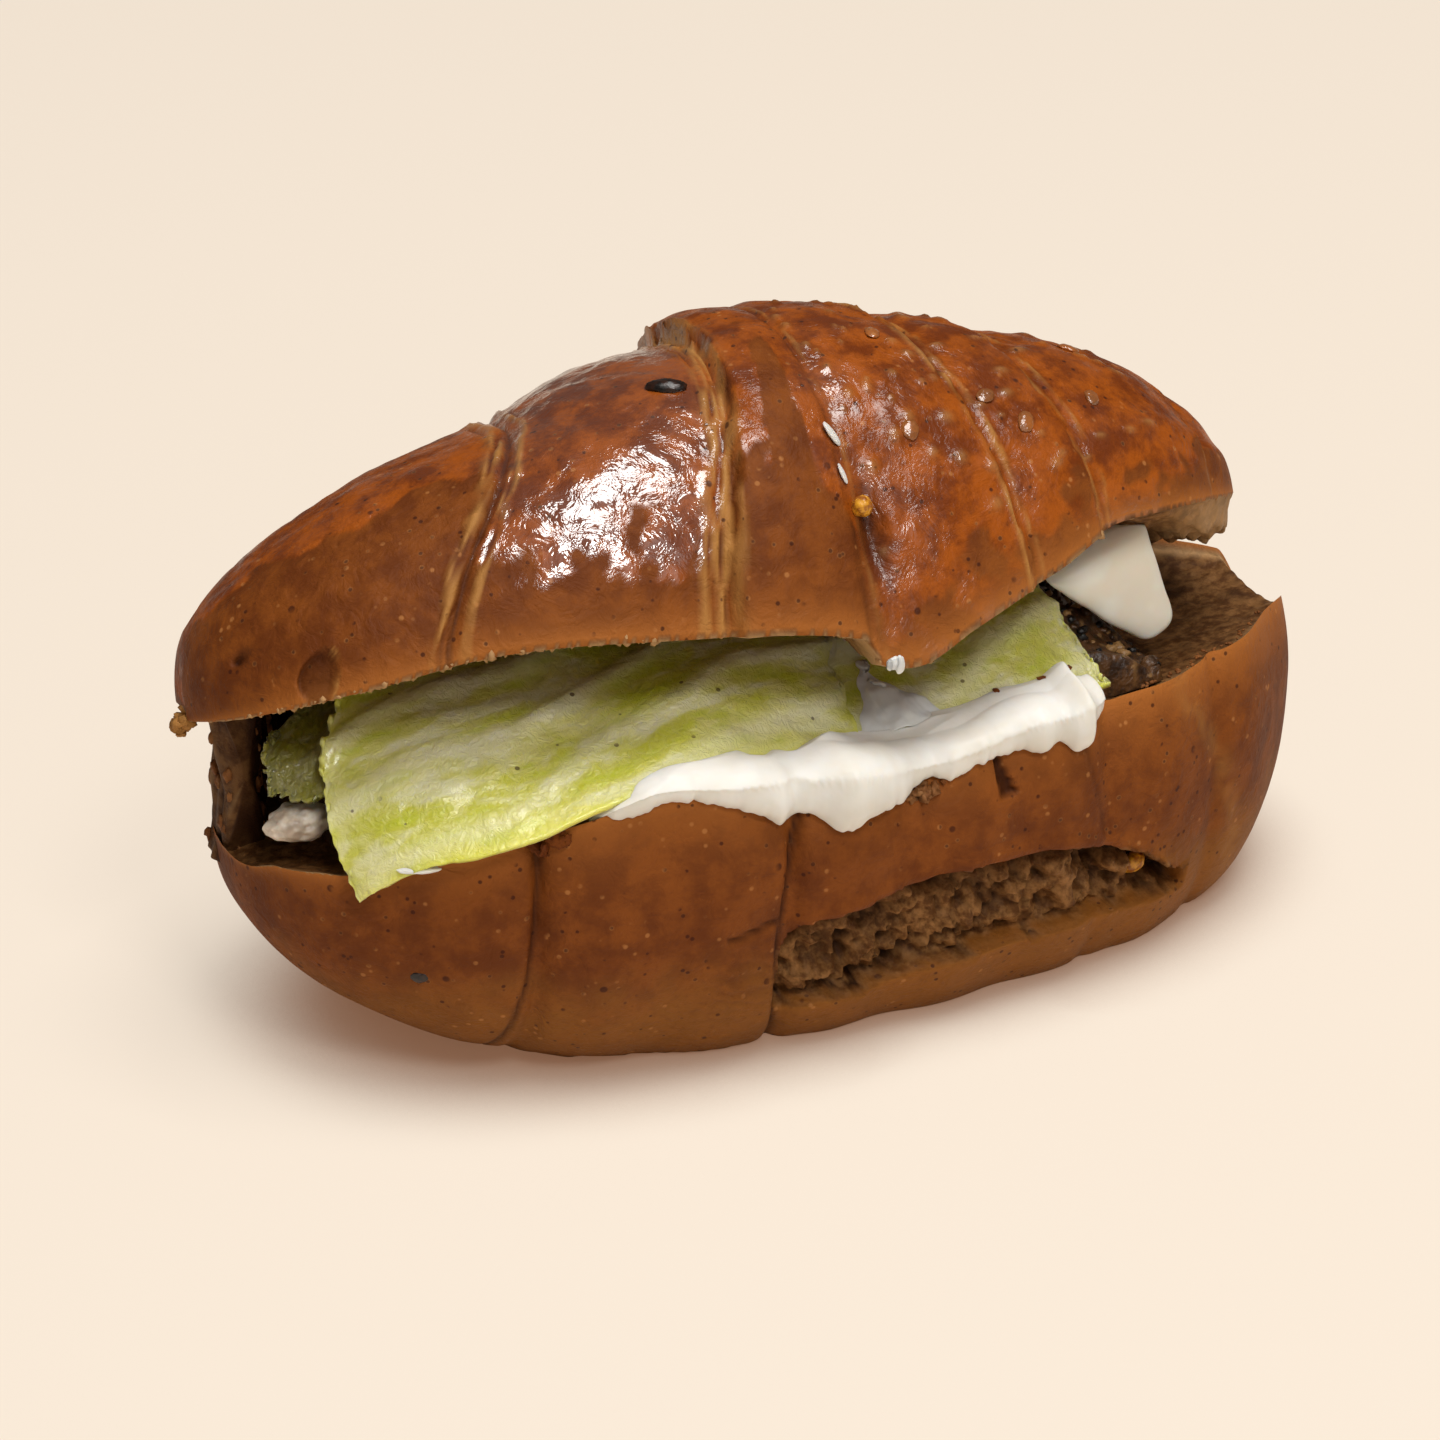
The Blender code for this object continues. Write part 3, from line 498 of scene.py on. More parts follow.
crust_finish, tree, shader = new_material("crust")
wet = mask(tree, "wet")
specks = node(tree, "ShaderNodeGroup", node_tree=bran)
crust_wrinkle = node(tree, "ShaderNodeGroup", {"Fine": 0.04}, node_tree=crinkle)
matte = clouds(tree, 5.0, 5.0, 0.6, (126, 66, 19), (100, 48, 12), 0.36, 0.64)
matte = cover(tree, matte, mask(tree, "golden"), 1.0, (142, 90, 34))
glossy = clouds(tree, 6.0, 5.0, 0.65, (156, 76, 8), (108, 46, 3))
skin = mix_colour(tree, mask(tree, "glaze"), matte, glossy)
mottle = stretch(tree, noise_value(tree, 0.9, 3.0, 0.65), 0.48, 0.68)
for share, strength, colour in (
    # The rim cover is a painted highlight along the crust's edge at the cut.
    (mottle, 0.2, (90, 38, 6)), (mask(tree, "rim"), 1.0, (168, 100, 42)),
    (mask(tree, "flaky"), 1.0, (176, 124, 64)), (specks.outputs["Pale"], 0.45, (196, 132, 74)),
    # The last cover is painted shade, darker in creases, crevices, pits, holes and tears.
    (specks.outputs["Dark"], 0.8, (56, 20, 6)), (mask(tree, "dark"), 0.85, (44, 16, 4)),
):
    skin = cover(tree, skin, share, strength, colour)
crumb_tone = clouds(tree, 1.6, 4.0, 0.6, (92, 56, 24), (146, 102, 58), 0.35, 0.65)
# The deep cover is painted shade deep in the tear, under its lip and on the crumb wall's inner side, and
# stain from the filling on the pressed cut faces.
crumb_tone = cover(tree, crumb_tone, mask(tree, "deep"), 1.0, (48, 24, 8))
crumb_tone = cover(tree, crumb_tone, mask(tree, "fresh"), 1.0, (208, 166, 116))
skin = mix_colour(tree, mask(tree, "crumb"), skin, crumb_tone)
smoothed = stretch(tree, maths(tree, "MULTIPLY", wet, wet), 0.0, 1.0, 0.8, 0.5)
crust_normal = roughened(tree, crust_wrinkle.outputs["Height"], smoothed, 0.8)
glints = stretch(tree, noise_value(tree, 2.6, 3.0, 0.6), 0.44, 0.58, 0.15, 1.0)
broken = node(tree, "ShaderNodeMix", {0: wet, 2: glints, 3: 1.0}, data_type="FLOAT").outputs[0]
set_inputs(tree, shader, {
    "Base Color": skin,
    "Roughness": stretch(tree, wet, 0.0, 1.0, 0.62, 0.42),
    "Specular IOR Level": stretch(tree, wet, 0.0, 1.0, 0.14, 0.3),
    "Coat Weight": maths(tree, "MULTIPLY", wet, broken),
    "Coat Roughness": stretch(tree, wet, 0.2, 0.9, 0.20, 0.05),
    "Coat IOR": 2.0,
    "Normal": crust_normal,
    "Coat Normal": crust_normal,
})

crown = add_piece("crown", shaped_grid(CROWN_ROWS, CROWN_COLUMNS, crown_surface), crust_finish)
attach(crown, "root")
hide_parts("croissant")


# The bottom half.
# A boat of the same dough, matt and browned, creased where the layers end, torn open low on
# the front so that the crumb shows, and hollowed where the filling presses on its cut face.
BASE_LEFT, BASE_RIGHT = -69.8, 79.7
BASE_HALF_WIDTH = 36.0
BASE_BELLY_HEIGHT = 27.0
BASE_BLUNTNESS = 2.4
SIDE_BULGE = 0.84
RISE = 0.18
DISH_DEPTH = 8.0
TEAR_DEPTH = 4.0
CREASES = ((-39.5, 1.5), (-7.5, 1.4), (38.0, 0.7), (57.0, 0.8))
CREASE_WIDTH = 1.3
BASE_ROWS, BASE_COLUMNS = 400, 240

RIM_FRONT = curve(
    (-70, 28.5), (-67, 31.0), (-60, 32.5), (-40, 37.5), (-25, 41.0), (-8, 38.5), (7, 36.8),
    (23, 38.5), (40, 39.5), (66, 40.0), (72, 39.0), (77, 37.0), (79.5, 31.0),
)
RIM_BACK = curve(
    (-70, 28.5), (-60, 34.0), (-40, 37.5), (45, 37.5), (58, 36.0), (72, 36.5), (77, 36.5), (79.5, 31.0),
)
TEAR_TOP = curve((-9, 17.5), (-6, 20.0), (2, 21.5), (14, 23.5), (30, 22.5), (43, 18.0), (52, 12.0))
TEAR_BOTTOM = curve((-9, 6.5), (2, 7.2), (16, 8.8), (32, 9.0), (52, 7.8))
RIM_INSET = curve((-70, 0.0), (-40, 1.2), (-10, 3.0), (60, 3.0), (79, 5.0))


def base_half(x):
    """Half the bottom half's width at x."""
    return BASE_HALF_WIDTH * share_of_width(x, BASE_LEFT, BASE_RIGHT, BASE_BLUNTNESS)


def base_depth(x):
    """How far the bottom half would hang below its belly, were the table not there."""
    t = (2 * x - BASE_LEFT - BASE_RIGHT) / (BASE_RIGHT - BASE_LEFT)
    power = np.where(t < 0, 1.75, 5.5)
    return BASE_BELLY_HEIGHT * 1.38 * np.sqrt(np.maximum(0.0, 1 - abs(t) ** power))


CREASE_LEFT = curve((0, -43.0), (10, -42.0), (36, -39.3))
CREASE_MIDDLE = curve((0, -7.6), (12, -9.2), (20, -9.4), (28, -8.2), (38, -6.0))
CREASE_RIGHT = curve((15, 38.5), (40, 34.0))
PALE_BAND = curve((8, 62.0), (25, 58.0), (40, 50.5))


def tear_share(x, z):
    """1 inside the torn stretch low on the front, 0 outside it."""
    inside = np.minimum(TEAR_TOP(x) - z, z - TEAR_BOTTOM(x))
    along = np.minimum(x + 9.0, 53.0 - x)
    return smooth_step(0.0, 1.0, np.minimum(inside, along * 0.8))


def base_wall(x, turn, proud=0.0):
    """Outside of the bottom half at x, from its front rim (turn 0), under it, to the back (turn 1)."""
    half = base_half(x)
    low = base_depth(x)
    up = clamp((RISE - np.minimum(turn, 1 - turn)) / RISE)
    angle = clamp((turn - RISE) / (1 - 2 * RISE)) * math.pi
    side = np.where(turn < 0.5, -1.0, 1.0)
    y = side * np.abs(np.cos(angle)) ** 0.76 * half
    z = BASE_BELLY_HEIGHT - low * np.sin(angle) ** SIDE_BULGE
    rim = np.where(turn < 0.5, RIM_FRONT(x), RIM_BACK(x))
    inset = RIM_INSET(x) * np.minimum(1.0, half / 20.0)
    y = np.where(up > 0, side * (half - inset * up * up), y)
    z = np.where(up > 0, BASE_BELLY_HEIGHT + (rim - BASE_BELLY_HEIGHT) * up, z)
    squeeze = sum(d * band(x - at, CREASE_WIDTH) for at, d in CREASES)
    puff = 0.8 * np.sin((x + 39.5) / 16.0 * math.pi) ** 2 - squeeze
    places = points(x, y, z)
    torn = TEAR_DEPTH * tear_share(x, z) * (y < 0) * (1 + 0.35 * lumps(places, 4.0, 5.0))
    puff = puff + UNEVENNESS * lumps(places, 13.0, 1.0) + proud
    narrow = clamp((half - 4.0) / 20.0)
    y = y + np.sign(y) * (puff - torn) * narrow * np.abs(np.cos(angle)) ** 0.5
    return y, np.maximum(z, 0.0)


def base_top(x, y):
    """Height of the cut, pressed crumb that the filling lies on."""
    half = base_half(x) + 1e-6
    across = clamp((y + half) / (2 * half))
    level = RIM_FRONT(x) + (RIM_BACK(x) - RIM_FRONT(x)) * across
    dish = DISH_DEPTH * clamp(half / BASE_HALF_WIDTH) * np.sin(across * math.pi) ** 0.8
    return level - dish


def base_surface(u, v):
    """Places and finishes over the bottom half: u runs along it, v round the crust and over the cut."""
    x = along_loaf(u, BASE_LEFT, BASE_RIGHT)
    turn = np.interp(v / CRUST_SHARE, (0, 0.58, 0.66, 1), (0, 0.36, 0.64, 1))
    y, z = base_wall(x, turn)
    places = points(x, y, z)
    coarse, fine, tiny = lumps(places, 5.0, 11.0), lumps(places, 1.9, 12.0), lumps(places, 0.9, 13.0)
    front = (y < 0) & (turn < 0.5)
    torn = tear_share(x + 1.5 * coarse, z + 1.2 * coarse + 0.8 * fine + 0.3 * tiny) * front
    under_lip = band(z - TEAR_TOP(x) + 2.0 + 0.8 * coarse, 0.8) * torn
    over_lip = band(z - TEAR_TOP(x) - 0.8, 0.9) * front * smooth_step(-9, 2, x) * (x < 50)
    deep = np.clip(0.5 + 1.0 * coarse + 0.9 * fine + 0.6 * tiny, 0, 1.6)
    proud = (1 - torn) * (0.12 * coarse + 0.05 * fine + 0.5 * over_lip)
    proud -= torn * (2.6 * deep - 1.6) + 1.5 * under_lip
    crease = band(x - CREASE_LEFT(z) + 0.3 * coarse, 0.45) * 0.8
    crease = np.maximum(crease, band(x - CREASE_MIDDLE(z) + 0.4 * coarse, 0.45))
    crease = np.maximum(crease, 0.35 * band(x - CREASE_RIGHT(z) + 0.2 * coarse, 0.35) * (z > 22))
    fold = band(z - 21.5 - 0.25 * (x + 12) - 0.5 * coarse, 0.5) * (x > -17) * (x < -8)
    crease = np.maximum(crease, 0.8 * fold) * front * (1 - torn)
    wrinkles = spot(x, z, -13.0, 13.0, 5.5, 6.0) + spot(x, z, -63.0, 7.0, 6.0, 6.0)
    wrinkles *= np.abs(np.sin(1.5 * z + 0.5 * x + 2.2 * coarse + fine)) * front * (1 - torn)
    below_rim = RIM_FRONT(x) - z
    rip = smooth_step(0.35, 0.0, np.abs(x - 20.9 - 0.25 * below_rim + 0.2 * fine) - 0.16 * below_rim)
    rip *= smooth_step(0.6, 1.2, below_rim) * smooth_step(6.8, 6.2, below_rim) * front
    proud -= 0.8 * crease + 0.5 * wrinkles + 1.2 * rip
    crease = np.maximum(np.maximum(crease, rip), 0.3 * wrinkles)
    y, z = base_wall(x, turn, proud * smooth_step(0.0, 0.03, turn))
    crust = points(x, y, z)
    along = clamp((v - CRUST_SHARE) / (1 - CRUST_SHARE))
    back_y, front_y = base_wall(x, np.ones_like(x))[0], base_wall(x, np.zeros_like(x))[0]
    cut_y = back_y + (front_y - back_y) * along
    cut = points(x, cut_y, base_top(x, cut_y))
    grain = 0.35 * lumps(cut, 1.6, 19.0) + 0.4 * lumps(cut, 5.0, 14.0)
    cut[:, 2] += grain * np.sin(along * math.pi) ** 0.3
    cut_mask = (v > CRUST_SHARE) * 1.0
    places = np.where(cut_mask[:, None] > 0, cut, crust)
    pale = 0.28 * band(x - PALE_BAND(z), 1.6) * front * clamp(0.7 + fine)
    pressed = smooth_step(0.1, 0.9, 0.8 * lumps(cut, 1.6, 19.0) + lumps(cut, 5.0, 14.0))
    golden = smooth_step(22.0, 8.0, z + 4 * coarse) * front * 0.7
    at_edge = smooth_step(0.90, 0.99, along) + smooth_step(0.10, 0.01, along)
    # Painted light in these finishes: shade darkens the creases, wrinkles and rip and the crumb deep in the
    # tear and under its lip, and a highlight lies along the crust's edge at the cut. The pressed cut top is
    # darkened as a stain from the filling.
    finishes = {
        "flaky": pale, "golden": golden, "crumb": np.maximum(cut_mask, torn),
        "dark": crease * (1 - cut_mask), "rim": np.exp(-np.minimum(turn, 1 - turn) / 0.05) * (1 - cut_mask),
        "deep": np.where(cut_mask > 0, 0.35 + 0.4 * pressed, clamp(deep - 0.45 + under_lip) * torn),
        "fresh": 0.5 * at_edge * cut_mask,
    }
    return places, finishes


base = add_piece("bottom_half", shaped_grid(BASE_ROWS, BASE_COLUMNS, base_surface), crust_finish)
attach(base, "root")
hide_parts("croissant")


# The crumb between the halves.
# Where the knife stopped, a wall of soft crumb still joins crown and bottom half along the
# back and round the left end. It is torn and stretched, with upright strands.
WEB_THICKNESS = 7.0
WEB_INSET = 6.5
WEB_FROM, WEB_TO = math.radians(48), math.radians(181)


def web_surface(u, v):
    """Places and finishes over the wall of crumb: u runs along it, v round its section."""
    middle, half = (CROWN_LEFT + CROWN_RIGHT) / 2, (CROWN_RIGHT - CROWN_LEFT) / 2 - WEB_INSET
    depth = CROWN_HALF_WIDTH - WEB_INSET
    around = WEB_FROM + (WEB_TO - WEB_FROM) * u
    cos, sin = np.cos(around), np.sin(around)
    x = middle + half * np.copysign(abs(cos) ** 0.86, cos)
    y = depth * np.copysign(abs(sin) ** 0.86, sin)
    out_x, out_y = cos / half, sin / depth
    length = np.hypot(out_x, out_y)
    out_x, out_y = out_x / length, out_y / length
    low, high = base_top(x, y) - 2.5, crown_floor(x, y) + 2.0
    up = np.interp(v, (0, 0.4, 0.5, 0.9, 1), (0, 1, 1, 0, 0))
    side = np.interp(v, (0, 0.4, 0.5, 0.9, 1), (-1, -1, 1, 1, -1))
    close = clamp(np.minimum(u, 1 - u) / 0.02) ** 0.5
    strands = lumps(points(x, y, 5 * up), 1.7, 6.0)
    strands += lumps(points(x, y, 12 * up), 4.0, 2.0)
    off = side * (WEB_THICKNESS / 2 - 1.4 * np.sin(up * math.pi) + 1.1 * strands) * close
    z = low + (high - low) * (0.5 + (up - 0.5) * close)
    inside = smooth_step(0.0, -1.0, side)
    finishes = {
        "crumb": np.ones_like(x),
        # Painted shade: the crumb is darker between its strands and on the side facing into the loaf.
        "deep": clamp(0.55 + smooth_step(0.0, -1.0, strands) + 0.7 * inside),
        "fresh": 0.25 * (1 - inside) * smooth_step(0.2, 1.0, strands),
    }
    return points(x + out_x * off, y + out_y * off, z), finishes


crumb_wall = add_piece("crumb_wall", shaped_grid(260, 110, web_surface), crust_finish)
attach(crumb_wall, "root")
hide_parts("croissant")


# Lettuce.
# Three pieces of a pale yellow-green leaf, thin and moist, with whitish ribs and soft folds.
# The long one hangs out over the front rim, one lies right of it, and one left of it, darker by painted
# shade.
LEAF_THICKNESS = 0.7
LEAF_SINK = 0.5
CROWN_GAP = 0.5

FRONT_LEAF = (
    (
        (-61, -23.5, 31.0), (-55, -27.5, 35.5), (-42, -32.5, 40.0), (-31, -32.8, 42.6),
        (-19, -31.5, 43.0), (-7, -29.5, 42.4), (5, -27.5, 41.5),
    ),
    ((-52.0, -2.0, 51.0), (-36, 0.0, 51.5), (-20, 1.0, 51.5), (-5, 0.0, 51.5), (9, -3.0, 50.5)),
)
RIGHT_LEAF = (
    ((-5.0, -24.5, 39.5), (12, -28.0, 40.4), (28, -28.5, 40.4), (41, -26.5, 40.2)),
    ((-3.0, -4.0, 48.0), (16, -4.0, 51.0), (30, -5.0, 51.5), (37, -6.0, 50.5)),
)
LEFT_LEAF = (
    ((-66.5, -8.0, 39.5), (-62, -12.5, 40.5), (-55, -15.0, 41.5)),
    ((-63.0, -2.0, 44.5), (-56, 3.0, 46.0), (-48, 4.0, 47.0)),
)


def leaf_surface(low_edge, high_edge, fold, bulge, ribs, seed, shade=0.0):
    """A function that gives places and finishes over a leaf between two edges."""
    low, high = (
        [curve(*zip(np.linspace(0, 1, len(edge)), axis)) for axis in zip(*edge)]
        for edge in (low_edge, high_edge)
    )

    def surface(u, v):
        flat = points(u * 60, v * 28, 0 * u)
        ragged, torn = lumps(flat, 3.0, seed), lumps(flat, 1.1, seed + 1)
        start = points(*(axis(u) for axis in low))
        end = points(*(axis(u) for axis in high))
        places = start + (end - start) * v[:, None]
        edge = np.exp(-np.minimum(np.minimum(u * 60, (1 - u) * 60), v * 28) / 1.5)
        places[:, 0] += edge * (0.7 * ragged + 0.4 * torn)
        places[:, 0] -= bulge * np.sin(v * math.pi) * (1 - u) ** 3
        middle = np.sin(clamp(v) * math.pi)
        z = places[:, 2] + middle * (1.5 + fold * np.sin(9 * u + 1)) + fold * 0.5 * np.sin(12 * u - 4 * v)
        rib_phase = ribs * (v - 0.55 * u) + 0.35 * lumps(flat, 14.0, seed + 2)
        rib = np.cos(rib_phase * 2 * math.pi) * 0.5 + 0.5
        z += 0.75 * rib**2 * np.sin(clamp(v * 1.3) * math.pi / 2) + 0.30 * ragged + 0.12 * torn
        x, y = places[:, 0], places[:, 1]
        over_rim = RIM_FRONT(x) * (y < 8 - base_half(x))
        floor = np.where(np.abs(y) < base_half(x) + 1.0, np.maximum(base_top(x, y), over_rim), 0.0)
        z = np.maximum(z, floor + LEAF_THICKNESS + 0.3) - LEAF_SINK
        places[:, 2] = np.minimum(z, crown_floor(x, y) - CROWN_GAP)
        streak = lumps(flat * [0.22, 1, 1], 2.2, seed + 3) + 0.5 * lumps(flat * [0.4, 1, 1], 0.9, seed + 4)
        return places, {"rib": rib**3, "edge": edge, "streak": streak, "shade": np.full_like(x, shade)}

    return surface


vein, _, vein_out = new_group("leaf_veins", {}, ("Height", "Pale"))
cloud = noise_value(vein, 1.3, 3.0, 0.6, 1.2)
web_lines = node(vein, "ShaderNodeTexVoronoi", {
    "Vector": node(vein, "ShaderNodeTexCoord").outputs["Object"], "Scale": 420.0,
}, feature="DISTANCE_TO_EDGE").outputs["Distance"]
set_inputs(vein, vein_out, {
    "Height": maths(vein, "ADD", cloud, stretch(vein, web_lines, 0.0, 0.25, 0.0, 0.08)),
    "Pale": stretch(vein, web_lines, 0.10, 0.0),
})

leaf_finish, tree, shader = new_material("lettuce_leaf")
leaf_net = node(tree, "ShaderNodeGroup", node_tree=vein)
leaf_tone = clouds(tree, 11.0, 3.0, 0.6, (196, 194, 72), (220, 212, 128))
streak = mask(tree, "streak")
for share, strength, colour in (
    (stretch(tree, streak, 0.0, 0.6), 0.8, (188, 194, 44)),
    (stretch(tree, streak, 0.0, -0.6), 0.8, (232, 226, 176)),
    (mask(tree, "rib"), 0.5, (240, 232, 190)), (leaf_net.outputs["Pale"], 0.08, (240, 232, 180)),
    (mask(tree, "edge"), 0.6, (236, 234, 96)),
    (scattered(tree, 3.3, 0.08, 0.11, 9.0, 0.50, 0.56), 0.8, (70, 48, 20)),
    # Painted shade, darkening the left leaf.
    (mask(tree, "shade"), 1.0, (88, 84, 16)),
):
    leaf_tone = cover(tree, leaf_tone, share, strength, colour)
set_inputs(tree, shader, {
    "Base Color": leaf_tone, "Roughness": 0.32, "Coat Weight": 0.35, "Coat Roughness": 0.12,
    "Subsurface Weight": 0.6, "Subsurface Radius": (1.0, 0.9, 0.25), "Subsurface Scale": 3.0 * MM,
    "Normal": roughened(tree, leaf_net.outputs["Height"], 0.8, 0.5),
})


def add_leaf(name, node_name, edges, rows, columns, **folds):
    """A leaf with its real thickness, which stands for a solid one."""
    mesh = shaped_grid(rows, columns, leaf_surface(*edges, **folds))
    if sum(face.normal.z for face in mesh.faces) < 0:
        bmesh.ops.reverse_faces(mesh, faces=mesh.faces)
    leaf = add_piece(name, mesh, leaf_finish)
    body = leaf.modifiers.new("thickness", "SOLIDIFY")
    body.thickness = LEAF_THICKNESS * MM
    body.offset = -1.0
    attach(leaf, "root")
    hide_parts(node_name)


RIGHT_FOLDS = {"fold": 0.5, "bulge": 0.0, "ribs": 2.4, "seed": 31.0}
# The left leaf's shade value is painted shade that darkens its colour.
LEFT_FOLDS = {"fold": 0.5, "bulge": 0.6, "ribs": 1.5, "seed": 41.0, "shade": 0.75}
add_leaf("leaf_front", "lettuce_front", FRONT_LEAF, 220, 120, fold=0.9, bulge=4.5, ribs=3.2, seed=21.0)
add_leaf("leaf_right", "lettuce_right", RIGHT_LEAF, 150, 110, **RIGHT_FOLDS)
add_leaf("leaf_left", "lettuce_left", LEFT_LEAF, 90, 60, **LEFT_FOLDS)


# Cream.
# Thick white cream, spread over the front rim. It lies in soft lobes with low crests, and
# has run a little way down the crust in drips.
CREAM_LEFT, CREAM_RIGHT = -33.0, 39.5
CREAM_TOP_SHARE = 0.68
CREAM_TUCK = 1.4
CREAM_THICKNESS = curve(
    (-34, 0.5), (-28, 1.6), (-20, 3.2), (-8, 4.8), (0, 6.4), (4.5, 6.6), (9, 5.2), (12, 4.8), (16, 5.8),
    (24, 5.6), (31.0, 5.0), (33.8, 6.2), (35.0, 4.2), (37, 3.4), (39, 2.4), (42, 1.0),
)
CREAM_DRIP = curve(
    (-34, 0.3), (-27, 1.6), (-22, 0.9), (-17, 1.2), (-12, 2.4), (-8.5, 3.8), (-5.5, 2.6), (-1.5, 4.4),
    (2.5, 3.0), (7, 2.4), (11, 0.8), (15, 1.4), (19, 1.0), (24, 1.3), (27.5, 2.2), (30.0, 1.6), (32, 3.2),
    (34, 3.4), (36, 1.4), (42, 0.4),
)
CREAM_REACH = curve((-34, 4.0), (-20, 8.0), (1, 10.0), (4, 12.0), (8, 11.0), (30, 12.0), (42, 5.0))


def front_wall(x, z):
    """How far forward the upper front wall of the bottom half stands at height z."""
    up = clamp((z - BASE_BELLY_HEIGHT) / (RIM_FRONT(x) - BASE_BELLY_HEIGHT))
    return base_wall(x, RISE * (1 - up))[0]


def cream_surface(u, v):
    """Places and finishes over the cream: u runs along it, v over its top and back under it."""
    x = CREAM_LEFT + (CREAM_RIGHT - CREAM_LEFT) * u
    over = v < CREAM_TOP_SHARE
    across = np.where(over, v / CREAM_TOP_SHARE, (1 - v) / (1 - CREAM_TOP_SHARE))
    ends = clamp(np.minimum(u, 1 - u) / 0.03) ** 0.5
    rim_z = RIM_FRONT(x)
    rim_y = front_wall(x, rim_z)
    flat = points(x, 0 * x, 0 * x)
    run = (CREAM_DRIP(x) - CREAM_TUCK + 0.3 * lumps(flat, 2.2, 2.5)) * across**4
    run += 0.3 * lumps(flat, 0.8, 8.5) * across**12
    along = -CREAM_REACH(x) + (CREAM_REACH(x) + CREAM_TUCK) * (0.5 + (across - 0.5) * ends) + run
    inside = np.maximum(-along, 0)
    down = np.maximum(along, 0)
    turn = smooth_step(-2.5, 2.0, along) * math.pi / 2
    y = np.where(along < 0, rim_y + inside, front_wall(x, rim_z - down) + 0.3)
    z = np.where(along < 0, base_top(x, rim_y + inside) + 0.2, rim_z - down)
    z = np.where(along < 0, np.maximum(z, rim_z - inside * 0.8), z)
    where = points(x, 14 * across, 0 * x)
    soft, crest = lumps(where, 9.0, 8.0), lumps(where * [0.55, 1.6, 1], 7.0, 15.0)
    ridge = 1 - np.abs(crest) * 2.0
    arch = np.sin(clamp(0.02 + 0.97 * across**0.85) * math.pi) ** 0.62
    body = (CREAM_THICKNESS(x) + CREAM_TUCK) * arch
    body *= 1 + 0.26 * soft + 0.12 * np.clip(ridge, -0.5, 1)
    body = body * ends * over
    y -= np.sin(turn) * body
    z += np.cos(turn) * body
    places = points(x, y, z)
    return places, {"thin": smooth_step(1.6, 0.2, body + 3 * (down < 1.0))}


cream_finish, tree, shader = new_material("cream")
cream_tone = clouds(tree, 8.0, 2.0, 0.5, (236, 234, 228), (226, 222, 212), 0.35, 0.65)
cream_tone = cover(tree, cream_tone, mask(tree, "thin"), 0.35, (206, 178, 158))
set_inputs(tree, shader, {
    "Base Color": cream_tone, "Roughness": 0.45, "Specular IOR Level": 0.35, "Subsurface Weight": 0.6,
    "Subsurface Radius": (1.0, 0.85, 0.7), "Subsurface Scale": 1.6 * MM,
    "Normal": roughened(tree, noise_value(tree, 2.4, 2.0), 0.25, 0.5),
})
cream = add_piece("cream_spread", shaped_grid(360, 110, cream_surface), cream_finish)
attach(cream, "root")
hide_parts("cream")


# Egg white.
# A slice of firm boiled egg white hangs out at the right, smooth and bluntly pointed, and a
# broken piece of another lies in the left end, darkened by painted shade and filling stain.
WEDGE_START, WEDGE_END = np.array([45.0, -13.0, 53.0]), np.array([54.0, -15.5, 40.5])
WEDGE_WIDE, WEDGE_DEEP = np.array([0.93, 0.12, 0.34]), np.array([-0.25, 0.90, 0.36])


def wedge_surface(u, v):
    """Places over the slice of egg white: u runs down it, v round it."""
    close = np.sqrt(clamp(1 - ((u - 0.5) / 0.5) ** 16))[:, None]
    centre = WEDGE_START + (WEDGE_END - WEDGE_START) * u[:, None] * np.array([1, 1, 1.03])
    angle = v * 2 * math.pi
    width, depth = 8.5 - 5.8 * u, 2.6 * np.sqrt(1.05 - 0.55 * u * u)
    across = np.sign(np.cos(angle)) * np.abs(np.cos(angle)) ** 0.75 * width
    through = np.sign(np.sin(angle)) * np.abs(np.sin(angle)) ** 0.75 * depth
    places = centre + close * (WEDGE_WIDE * across[:, None] + WEDGE_DEEP * through[:, None])
    places += 0.25 * lumps(places, 5.0, 3.0)[:, None]
    places[:, 2] = np.minimum(places[:, 2], crown_floor(places[:, 0], places[:, 1]) - CROWN_GAP)
    return places, {}


egg_finish, tree, shader = new_material("egg_white")
egg_tone = clouds(tree, 7.0, 2.0, 0.5, (253, 247, 234), (246, 236, 218), 0.4, 0.6)
# Painted shade and stain from the filling, in patches over the broken piece.
stain_and_shade_patches = stretch(tree, noise_value(tree, 2.4, 3.0), 0.36, 0.60, 0.3, 0.85)
egg_tone = cover(tree, egg_tone, mask(tree, "stain"), stain_and_shade_patches, (140, 108, 76))
set_inputs(tree, shader, {
    "Base Color": egg_tone, "Roughness": 0.32, "Subsurface Weight": 0.5,
    "Subsurface Radius": (1.0, 0.7, 0.5), "Subsurface Scale": 2.0 * MM,
    "Normal": roughened(tree, noise_value(tree, 3.0, 3.0), 0.15, 0.4),
})
wedge = add_piece("egg_slice", shaped_grid(90, 96, wedge_surface), egg_finish)
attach(wedge, "root")
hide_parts("egg_white_right")


